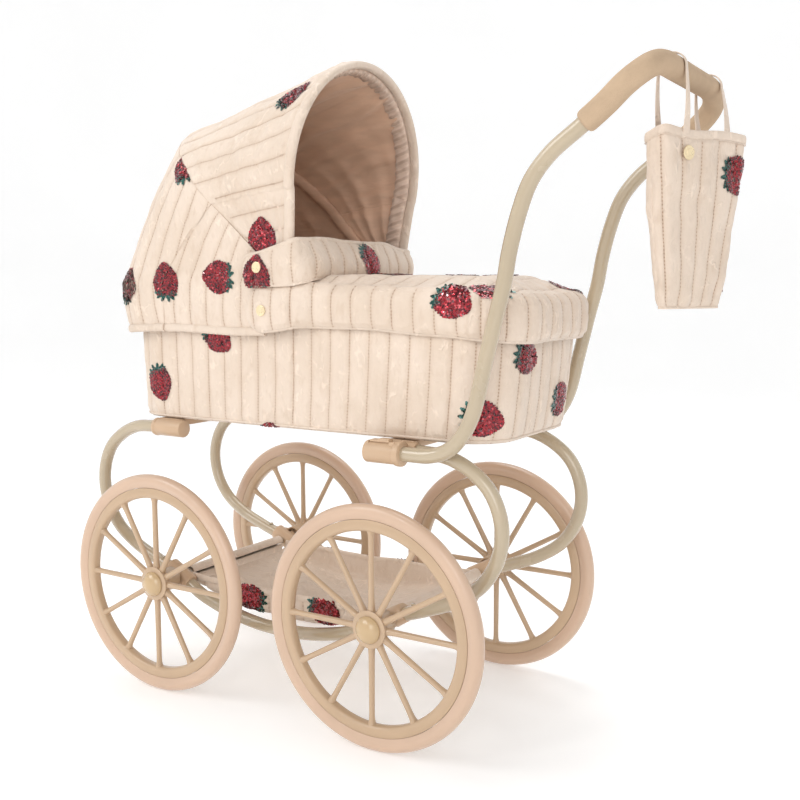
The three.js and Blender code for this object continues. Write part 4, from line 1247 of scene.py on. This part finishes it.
def build_snaps():
    for name, sign in SIDES:
        mirror = (1, sign, 1)
        flap = snap_shape(np.multiply(FLAP_SNAP, mirror), (0, sign, 0))
        flap.build(f"flap_snap_head_{name}", [GOLD], "flap_body", [f"flap_snap_{name}"], "snap")
        apron = snap_shape(np.multiply(APRON_SNAP, mirror), (0, sign, 0))
        apron.build(f"apron_snap_head_{name}", [GOLD], "apron_body", [f"apron_snap_{name}"], "snap")
        for end, way in ENDS:
            head = snap_shape(np.multiply(BASKET_SNAP, (way, sign, 1)), (0, -sign, 0), 5.0, 1.9)
            head.build(f"basket_snap_head_{end}_{name}", [GOLD], "chassis", [f"basket_snap_{end}_{name}"],
                       "snap")


# ------------------------------------------------------------------ bag
def bag_turned(p):
    a = math.radians(BAG["turn"])
    c, s = math.cos(a), math.sin(a)
    x, y = p[..., 0] * c - p[..., 1] * s, p[..., 0] * s + p[..., 1] * c
    return np.stack([x + BAG["x"], y + BAG["y"], p[..., 2]], -1)


def bag_hung(p):
    """Slack of the hanging bag: its left gusset folds in and its back corner drops."""
    p = p.copy()
    high = fade_in(p[..., 2] - 545, 100)
    left = np.clip(-p[..., 1] / 60, 0, 1) ** 2
    fore = p[..., 0] / 19
    belly = np.sin(math.pi * np.clip((p[..., 2] - BAG["bottom"]) / 160, 0, 1))
    p[..., 0] *= 1 - 0.42 * left * (fore < 0) * high
    p[..., 0] += 2.5 * belly * np.clip(fore, 0, 1) * (1 - np.abs(p[..., 1]) / 80)
    p[..., 1] += 5.0 * high * left * np.clip(1 - fore ** 2, 0, 1)
    p[..., 2] += high * left * (4.5 * fore - 1.0)
    p[..., 2] += high * 1.2 * np.sin(p[..., 1] / 15)
    return bag_turned(p)


def bag_ring(z, inset):
    k = (z - BAG["bottom"]) / (BAG["top"] - BAG["bottom"])
    width = (BAG["low_w"] + (BAG["top_w"] - BAG["low_w"]) * k) / 2 - inset
    depth = (BAG["low_d"] + (BAG["top_d"] - BAG["low_d"]) * k) / 2 - inset
    ring = plan_ring(-depth, depth, width, min(11.0, depth - 0.4))
    return resample(np.column_stack([ring, np.full(len(ring), z)]), 300, closed=True)


def build_bag():
    rows = np.concatenate([[474.2, 475.0, 477.0, 480.0], np.linspace(484, BAG["top"], 66)])
    inset = np.interp(rows, [474, 476, 481, 520, 600, 649], [4.5, 2.6, 1.4, 1.0, 1.0, 1.6])
    base = np.stack([bag_ring(z, i) for z, i in zip(rows, inset)], 1)
    k = np.linspace(0, 1, len(base), endpoint=False)
    length = 2 * (BAG["top_w"] + BAG["top_d"])
    across = np.tile((k * round(length / 30.5) * PITCH + 14.6)[:, None], (1, len(rows)))
    along = np.tile(rows, (len(base), 1))
    normal = grid_normals(base, closed=True)
    fade = np.clip((rows - 475) / 8, 0, 1) * np.clip((BAG["top"] - 7 - rows) / 4, 0, 1)
    relief = channels(across, along, 1.6, seed=71) * fade
    relief += (noise(across / 40, along / 34, 72) * 2.0 + noise(across / 14, along / 11, 73) * 0.8) * fade
    outer = bag_hung(base + normal * relief[..., None])
    inner = bag_hung(np.stack([bag_ring(z, 3.2) for z in np.linspace(478.5, BAG["top"], 24)], 1))
    s = Shape()
    s.pouch(outer, inner, np.stack([across, along], -1))
    s.binding(bag_hung(bag_ring(BAG["top"] - 4.0, 1.9)), superellipse(2.3, 4.6, 14, 3.0))
    s.tube(bag_hung(bag_ring(BAG["top"] - 9.0, 0.2)), 0.55, 8, closed=True, slot=1)
    s.tube(bag_hung(bag_ring(475.6, 2.8)), 1.3, 8, closed=True, slot=1)
    bag = s.build("quilted_bag", [QUILT, PLAIN], "bag", ["bag_body"], "quilt", fix=False)

    for name, bar_y, bag_y in (("left", -50.0, -29.0), ("right", 74.0, 29.0)):
        strap = strap_shape(bar_y, bag_y)
        strap.build(f"bag_loop_{name}", [PLAIN], "bag", [f"bag_strap_{name}"], "webbing", fix=False)
    spot = bag_turned(np.array([BAG["top_d"] / 2 + 2.2, -29.0, 626.0]))
    a = math.radians(BAG["turn"])
    head = snap_shape(spot, (math.cos(a), math.sin(a), 0), 7.2, 2.0)
    head.build("bag_snap_head", [GOLD], "bag", ["bag_snap"], "snap")
    return bag


def strap_shape(bar_y, bag_y):
    """Folded tape over the grip, its ends sewn to the bag's two top edges."""
    thick = 1.5
    loop = GRIP_R + 1.1 + thick / 2
    reach = BAG["top_d"] / 2 - 1.5
    across = np.array([0, 1.0, 0])
    a = math.radians(BAG["turn"])
    bag_across = np.array([-math.sin(a), math.cos(a), 0])
    path, wide, out, widths = [], [], [], []

    def leg(sign, k):
        low = bag_turned(np.array([sign * reach, bag_y, BAG["top"] - 7.0]))
        high = np.array([BAR[0] + sign * loop, bar_y, BAR[1]])
        slack = math.sin(math.pi * k) * 1.6
        path.append(low * (1 - k) + high * k + np.array([sign * slack, 0, 0]))
        wide.append(unit(bag_across * (1 - k) + across * k))
        out.append(np.array([sign, 0, 0.0]))
        widths.append(9.5 - 3.7 * k ** 0.7)

    for k in np.linspace(0, 0.96, 16):
        leg(1, k)
    for q in np.linspace(0, math.pi, 20):
        direction = np.array([math.cos(q), 0, math.sin(q)])
        path.append(np.array([BAR[0], bar_y, BAR[1]]) + direction * loop)
        wide.append(across)
        out.append(direction)
        widths.append(5.8)
    for k in np.linspace(0.96, 0, 16):
        leg(-1, k)
    s = Shape()
    profiles = np.stack([superellipse(w / 2, thick / 2, 18, 4.0) for w in widths])
    s.sweep(np.array(path), np.array(wide), np.array(out), profiles)
    return s


# ------------------------------------------------------------------ basket
def build_basket():
    half, end, rim_z, wall_share = (BASKET[key] for key in ("half", "end", "rim", "wall_share"))
    n = 150
    xs = np.linspace(-end + 1.5, end - 1.5, n)
    sag = BASKET["floor"] + (BASKET["floor_end"] - BASKET["floor"]) * (np.abs(xs) / end) ** 2.2
    # section across: up the left wall, over the floor, up the right wall
    v = np.linspace(-1, 1, 141)
    flat = np.clip(v / (1 - wall_share), -1, 1)
    climb = np.clip((np.abs(v) - (1 - wall_share)) / wall_share, 0, 1)
    soft = 1 - np.sqrt(np.clip(1 - np.abs(flat) ** 6, 0, 1))
    base = np.zeros((n, len(v), 3))
    base[..., 0] = xs[:, None]
    base[..., 1] = np.sign(v) * (np.abs(flat) * (half - 1.6) + climb * 0.6)
    floor = sag[:, None] + 7.0 * soft[None]
    base[..., 2] = floor * (1 - climb) + rim_z * climb
    across = base[..., 0]
    along = np.tile((v + 1) * BASKET["wall_run"], (n, 1))
    normal = outward(base, (0, 0, 240))
    edges = fade_in(end - np.abs(across), 9) * fade_in((1 - np.abs(v)) * BASKET["wall_run"], 5)[None]
    relief = channels(across, along, 1.7, seed=81) * edges + noise(across / 36, along / 40, 82) * 1.4 * edges
    outer = base + normal * (relief - 0.4)[..., None]
    inner = base - normal * (2.2 - noise(across / 42, along / 36, 84) * 1.2 * edges)[..., None]
    s = Shape()
    s.sheet(outer, inner, np.stack([across, along], -1), slots=(0, 1))
    for side in (-1, 1):
        rim = np.stack([xs, np.full(n, side * (half - 1.2)), np.full(n, rim_z)], 1)
        lift = noise(xs / 40, 0.0, 83 + side) * 1.4 - 1.6 * (1 - (xs / end) ** 2)
        rim[:, 2] += lift
        s.sweep(rim, every((0, side, 0), rim), every((0, 0, 1), rim), superellipse(2.2, 4.0, 12, 2.4), slot=1)
    for _, way in ENDS:
        ys = np.linspace(-90, 90, 60)
        ring = np.linspace(-0.5 * math.pi, 1.3 * math.pi, 30)
        centre = np.array([(way * AXLE_X, y, WHEEL_R) for y in ys])[:, None]
        direction = np.array([(way * math.sin(q), 0, math.cos(q)) for q in ring])
        sleeve = centre + 7.6 * direction
        ripple = noise(ys[:, None] / 16, ring[None], 86) * 0.35
        s.sheet(sleeve + direction * ripple[..., None], sleeve - direction * 1.3, None,
                slots=(1, 1), turned=way < 0)
        drop = np.linspace(0, 1, 14)
        curtain = np.zeros((len(ys), len(drop), 3))
        curtain[..., 0] = way * (AXLE_X - 5 + 2.2 * drop)
        curtain[..., 1] = ys[:, None]
        curtain[..., 2] = 130.5 - 12.0 * drop - 0.8 * noise(ys / 30, 0.0, 87)[:, None] * drop
        back = curtain - np.array([way * 1.6, 0, 0])
        s.sheet(curtain, back, None, slots=(1, 1), turned=way < 0)
    basket = s.build("hammock_basket", [QUILT, PLAIN], "chassis", ["basket_fabric"], "quilt")
    return basket


# ------------------------------------------------------------------ sequin strawberries
def berry_spots(size, rng):
    """Places of the sequins on a flat strawberry, point down: (x, y, which finish)."""
    spots = []
    pitch = SEQUIN_PITCH
    for r in range(int(size / pitch) + 1):
        y = -size * 0.5 + r * pitch * 0.95
        k = y / size + 0.5
        half = size * 0.46 * math.sin(math.pi * min(1, 0.05 + 0.78 * k)) ** 0.72
        bowed = 0.05 * size * (1 - k)
        n = int(2 * half / pitch) + 1
        for c in range(n):
            x = (c - (n - 1) / 2) * pitch + (r % 2) * pitch * 0.3
            dark = rng.random() < 0.22 + 0.4 * (abs(x) / (half + 1)) ** 3
            sink = bowed * (x / (half + 1)) ** 2
            spots.append((x + rng.uniform(-0.2, 0.2), y + sink + rng.uniform(-0.15, 0.15), int(dark)))
    for leaf in (-78, -48, -17, 17, 48, 78):
        q = math.radians(leaf + rng.uniform(-6, 6))
        for step in range(6):
            d = step * 1.7
            for side in ((-1.9, 0.0, 1.9) if step < 3 else (-0.9, 0.9) if step < 5 else (0.0,)):
                spots.append((math.sin(q) * (size * 0.2 + d) + math.cos(q) * side,
                              size * 0.37 + math.cos(q) * (2.5 + d) - math.sin(q) * side, 2))
    return spots


def add_berries(name, host, places, behind, body, blend=None):
    """Sews berries on a host piece, on its face turned away from the point behind."""
    graph = bpy.context.evaluated_depsgraph_get()
    tree = BVHTree.FromObject(host, graph)
    to_world = host.matrix_world
    to_local = to_world.inverted()
    back = to_local @ Vector(metres([behind])[0])
    rng = np.random.default_rng(len(name) * 101 + len(places))
    verts, faces, slots = [], [], []
    corners = angles(6)
    for centre, turn, drop in places:
        local = to_local @ Vector(metres([centre])[0])
        hit, normal, _, _ = tree.find_nearest(local)
        if normal.dot(hit - back) < 0:
            normal = -normal
        up = Vector((0, 0, 1)) if abs(normal.z) < 0.8 else Vector((1, 0, 0))
        right = up.cross(normal).normalized()
        up = normal.cross(right)
        hit = hit - up * drop / 1000
        c, s = math.cos(math.radians(turn)), math.sin(math.radians(turn))
        axis_x, axis_y = right * c + up * s, up * c - right * s
        for x, y, kind in berry_spots(BERRY, rng):
            start = hit + (axis_x * x + axis_y * y) / 1000 + normal * SEQUIN_REACH
            there, face_normal, _, _ = tree.ray_cast(start, -normal, 2 * SEQUIN_REACH)
            if there is None or abs(face_normal.dot(normal)) < STEEPEST:
                continue
            if face_normal.dot(normal) < 0:
                face_normal = -face_normal
            tilt = Vector(rng.normal(0, 0.2, 3))
            n = (face_normal * 0.6 + normal * 0.4 + tilt).normalized()
            u = n.cross(axis_x).normalized()
            w = n.cross(u)
            middle = there + face_normal * 0.0006 + normal * 0.0002
            first = len(verts)
            verts.extend(middle + (u * math.cos(q) + w * math.sin(q)) * (SEQUIN_R / 1000) for q in corners)
            faces.append(tuple(range(first, first + 6)))
            slots.append(kind)
    mesh = bpy.data.meshes.new(name)
    mesh.from_pydata([to_world @ v for v in verts], [], faces)
    mesh.polygons.foreach_set("material_index", slots)
    for finish in (RED, DARK_RED, GREEN):
        mesh.materials.append(finish)
    obj = linked(name, mesh)
    if blend:
        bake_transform(obj)
    else:
        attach(obj, body)


# ------------------------------------------------------------------ camera, light and floor
CAMERA_PLACE = (0.6491, -1.0166, 0.4999)
CAMERA_TURN = 32.112    # degrees round the vertical
CAMERA_RISE = 6.535     # degrees above level
CAMERA_ROLL = -0.144
CAMERA_LENS = 45.503    # millimetres, on a 36 mm sensor


def build_camera():
    az, el, roll = (math.radians(v) for v in (CAMERA_TURN, CAMERA_RISE, CAMERA_ROLL))
    back = Vector((math.sin(az) * math.cos(el), -math.cos(az) * math.cos(el), math.sin(el)))
    right = Vector((math.cos(az), math.sin(az), 0))
    up = back.cross(right)
    turned = right * math.cos(roll) + up * math.sin(roll)
    upright = up * math.cos(roll) - right * math.sin(roll)
    rotation = Matrix((turned, upright, back)).transposed().to_4x4()
    data = bpy.data.cameras.new("camera")
    data.sensor_width = 36
    data.lens = CAMERA_LENS
    data.clip_end = 60
    camera = linked("camera", data)
    camera.matrix_world = Matrix.Translation(CAMERA_PLACE) @ rotation
    bpy.context.scene.camera = camera


def area_light(name, place, target, size, power, colour=(1, 1, 1)):
    data = bpy.data.lights.new(name, "AREA")
    data.shape = "DISK"
    data.size = size
    data.energy = power
    data.color = colour
    aim = Vector(target) - Vector(place)
    turn = aim.to_track_quat("-Z", "Y").to_matrix().to_4x4()
    linked(name, data).matrix_world = Matrix.Translation(place) @ turn


def build_studio():
    """Pale floor that curves up into a backdrop on every side, and big soft lights."""
    section = [(2.4, 0), (3.2, 0.06), (3.8, 0.24), (4.3, 0.6), (4.6, 1.1), (4.75, 1.8), (4.8, 2.6), (4.8, 5.0)]
    grid = np.array([[(r * math.cos(a), r * math.sin(a), z) for r, z in section] for a in angles(96)])
    grid = grid * 1000 + np.array([PLAN_CENTRE, 0, 0])
    s = Shape()
    s.grid(grid, closed=True)
    s.cap(grid[:, 0])
    f = Finish("studio_floor", 0.7)
    f.colour(f.mix(f.ramp(f.noise(2.0, 3), 0.3, 0.7), (0.9, 0.9, 0.9), (0.885, 0.885, 0.885)))
    f.bump(f.noise(40, 3), 0.0005, 0.1)
    f.bsdf.inputs["Emission Color"].default_value = (1, 1, 1, 1)
    f.bsdf.inputs["Emission Strength"].default_value = 0.25
    floor = s.build("studio_floor", [f.material], fix=False)
    world = bpy.data.worlds.new("studio")
    world.use_nodes = True
    background = world.node_tree.nodes["Background"]
    background.inputs["Color"].default_value = (1, 1, 1, 1)
    background.inputs["Strength"].default_value = 0.4
    bpy.context.scene.world = world
    area_light("key", (-1.5, -1.8, 2.1), (0, 0, 0.45), 1.3, 15, (1.0, 0.99, 0.975))
    area_light("fill", (1.0, -2.3, 1.1), (0, 0, 0.4), 1.4, 11, (0.985, 0.99, 1.0))
    area_light("glint", (-0.5, -2.1, 1.7), (0, 0, 0.4), 0.2, 4)
    area_light("top", (-0.3, 0.4, 2.6), (0, 0, 0.4), 1.4, 22)
    bpy.context.scene.view_settings.view_transform = "Standard"


# ------------------------------------------------------------------ everything together
# Strawberries: the point they are sewn on, their turn (0 has the leaves up, 90 to the left) and drop.
HOOD_FRONT_BERRIES = [
    ((-5, -121, 554), 180, 0), ((21, -99, 718), 140, 0), ((-60, 30, 757), 60, 0), ((5, 96, 722), 215, 0),
    ((-50, 128, 630), 20, 0), ((2, 122, 562), 190, 0),
]
HOOD_BACK_BERRIES = [
    ((-77, -118, 509), 268, 0), ((-157, -120, 506), 177, 0), ((-230, -113, 500), 165, 0),
    ((-122, -118, 642), 200, 0), ((-259, -30, 560), 30, 0), ((-262, 62, 500), 250, 0),
    ((-190, 40, 676), 120, 0), ((-160, 118, 600), 10, 0), ((-85, 119, 512), 95, 0), ((-180, 118, 492), 200, 0),
]
COT_BERRIES = [
    ((-84, -109, 437), 52, 0), ((-185, -107, 376), 20, 0), ((-8, -107, 350), 95, 30),
    ((294, -52, 424), 72, 0), ((266, -97, 361), 75, 0), ((288, 46, 370), 88, 0),
    ((-240, -20, 372), 140, 0), ((-238, 50, 420), 30, 0), ((-150, 109, 402), 300, 0),
    ((-30, 109, 372), 40, 0), ((70, 109, 428), 200, 0), ((190, 109, 380), 120, 0),
]
APRON_BERRIES = [
    ((241, -118, 483), 62, 0), ((269, -96, 507), 5, 0), ((285, 66, 503), 80, 0), ((120, -40, 510), 210, 0),
    ((160, 52, 510), 30, 0), ((232, 8, 510), 130, 0), ((110, 119, 474), 200, 0), ((215, 119, 473), 250, 0),
]
FLAP_BERRIES = [((-6, -130, 512), 180, 0), ((64, 1, 526), 38, 0), ((20, 130, 520), 170, 0)]
BAG_BERRIES = [
    ((482, 50, 607), 88, 0), ((430, 32, 560), 150, 0), ((416, 3, 612), 20, 0), ((450, 58, 500), 250, 0),
]
BASKET_BERRIES = [
    ((-55, -96, 120), 250, 0), ((60, -96, 122), 60, 0),
    ((-70, 96, 120), 200, 0), ((50, 96, 120), 30, 0),
]


def main():
    for build in (build_side_frames, build_bearings, build_axles, build_clamps, build_wheels, build_handle):
        build()
    cot = build_cot()
    build_mattress()
    front, back = build_hood()
    apron = build_apron()
    flap = build_flap()
    build_snaps()
    bag = build_bag()
    basket = build_basket()
    add_berries("cot_berries", cot, COT_BERRIES, (20, 0, 400), "carrycot")
    add_berries("apron_berries", apron, APRON_BERRIES, (200, 0, 440), "apron_body")
    add_berries("flap_berries", flap, FLAP_BERRIES, (0, 0, 500), "flap_body")
    add_berries("bag_berries", bag, BAG_BERRIES, (440, 16, 560), "bag")
    add_berries("basket_berries", basket, BASKET_BERRIES, (0, 0, 60), "chassis")
    add_berries("hood_front_berries", front[0], HOOD_FRONT_BERRIES, HOOD_CENTRE, None, front[1:])
    add_berries("hood_back_berries", back[0], HOOD_BACK_BERRIES, HOOD_CENTRE, None, back[1:])
    for cover, *rest in (front, back):
        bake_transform(cover)
    kept_from_cad = {
        "cot_base_board": BOARD, "hood_front_bow": STEEL, "hood_middle_bow": STEEL, "hood_pin_left": STEEL,
        "hood_pin_right": STEEL, "hood_bracket_left": CLAMP, "hood_bracket_right": CLAMP,
    }
    for node, finish in kept_from_cad.items():
        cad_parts[node].data.materials[0] = finish
    build_studio()
    build_camera()


main()
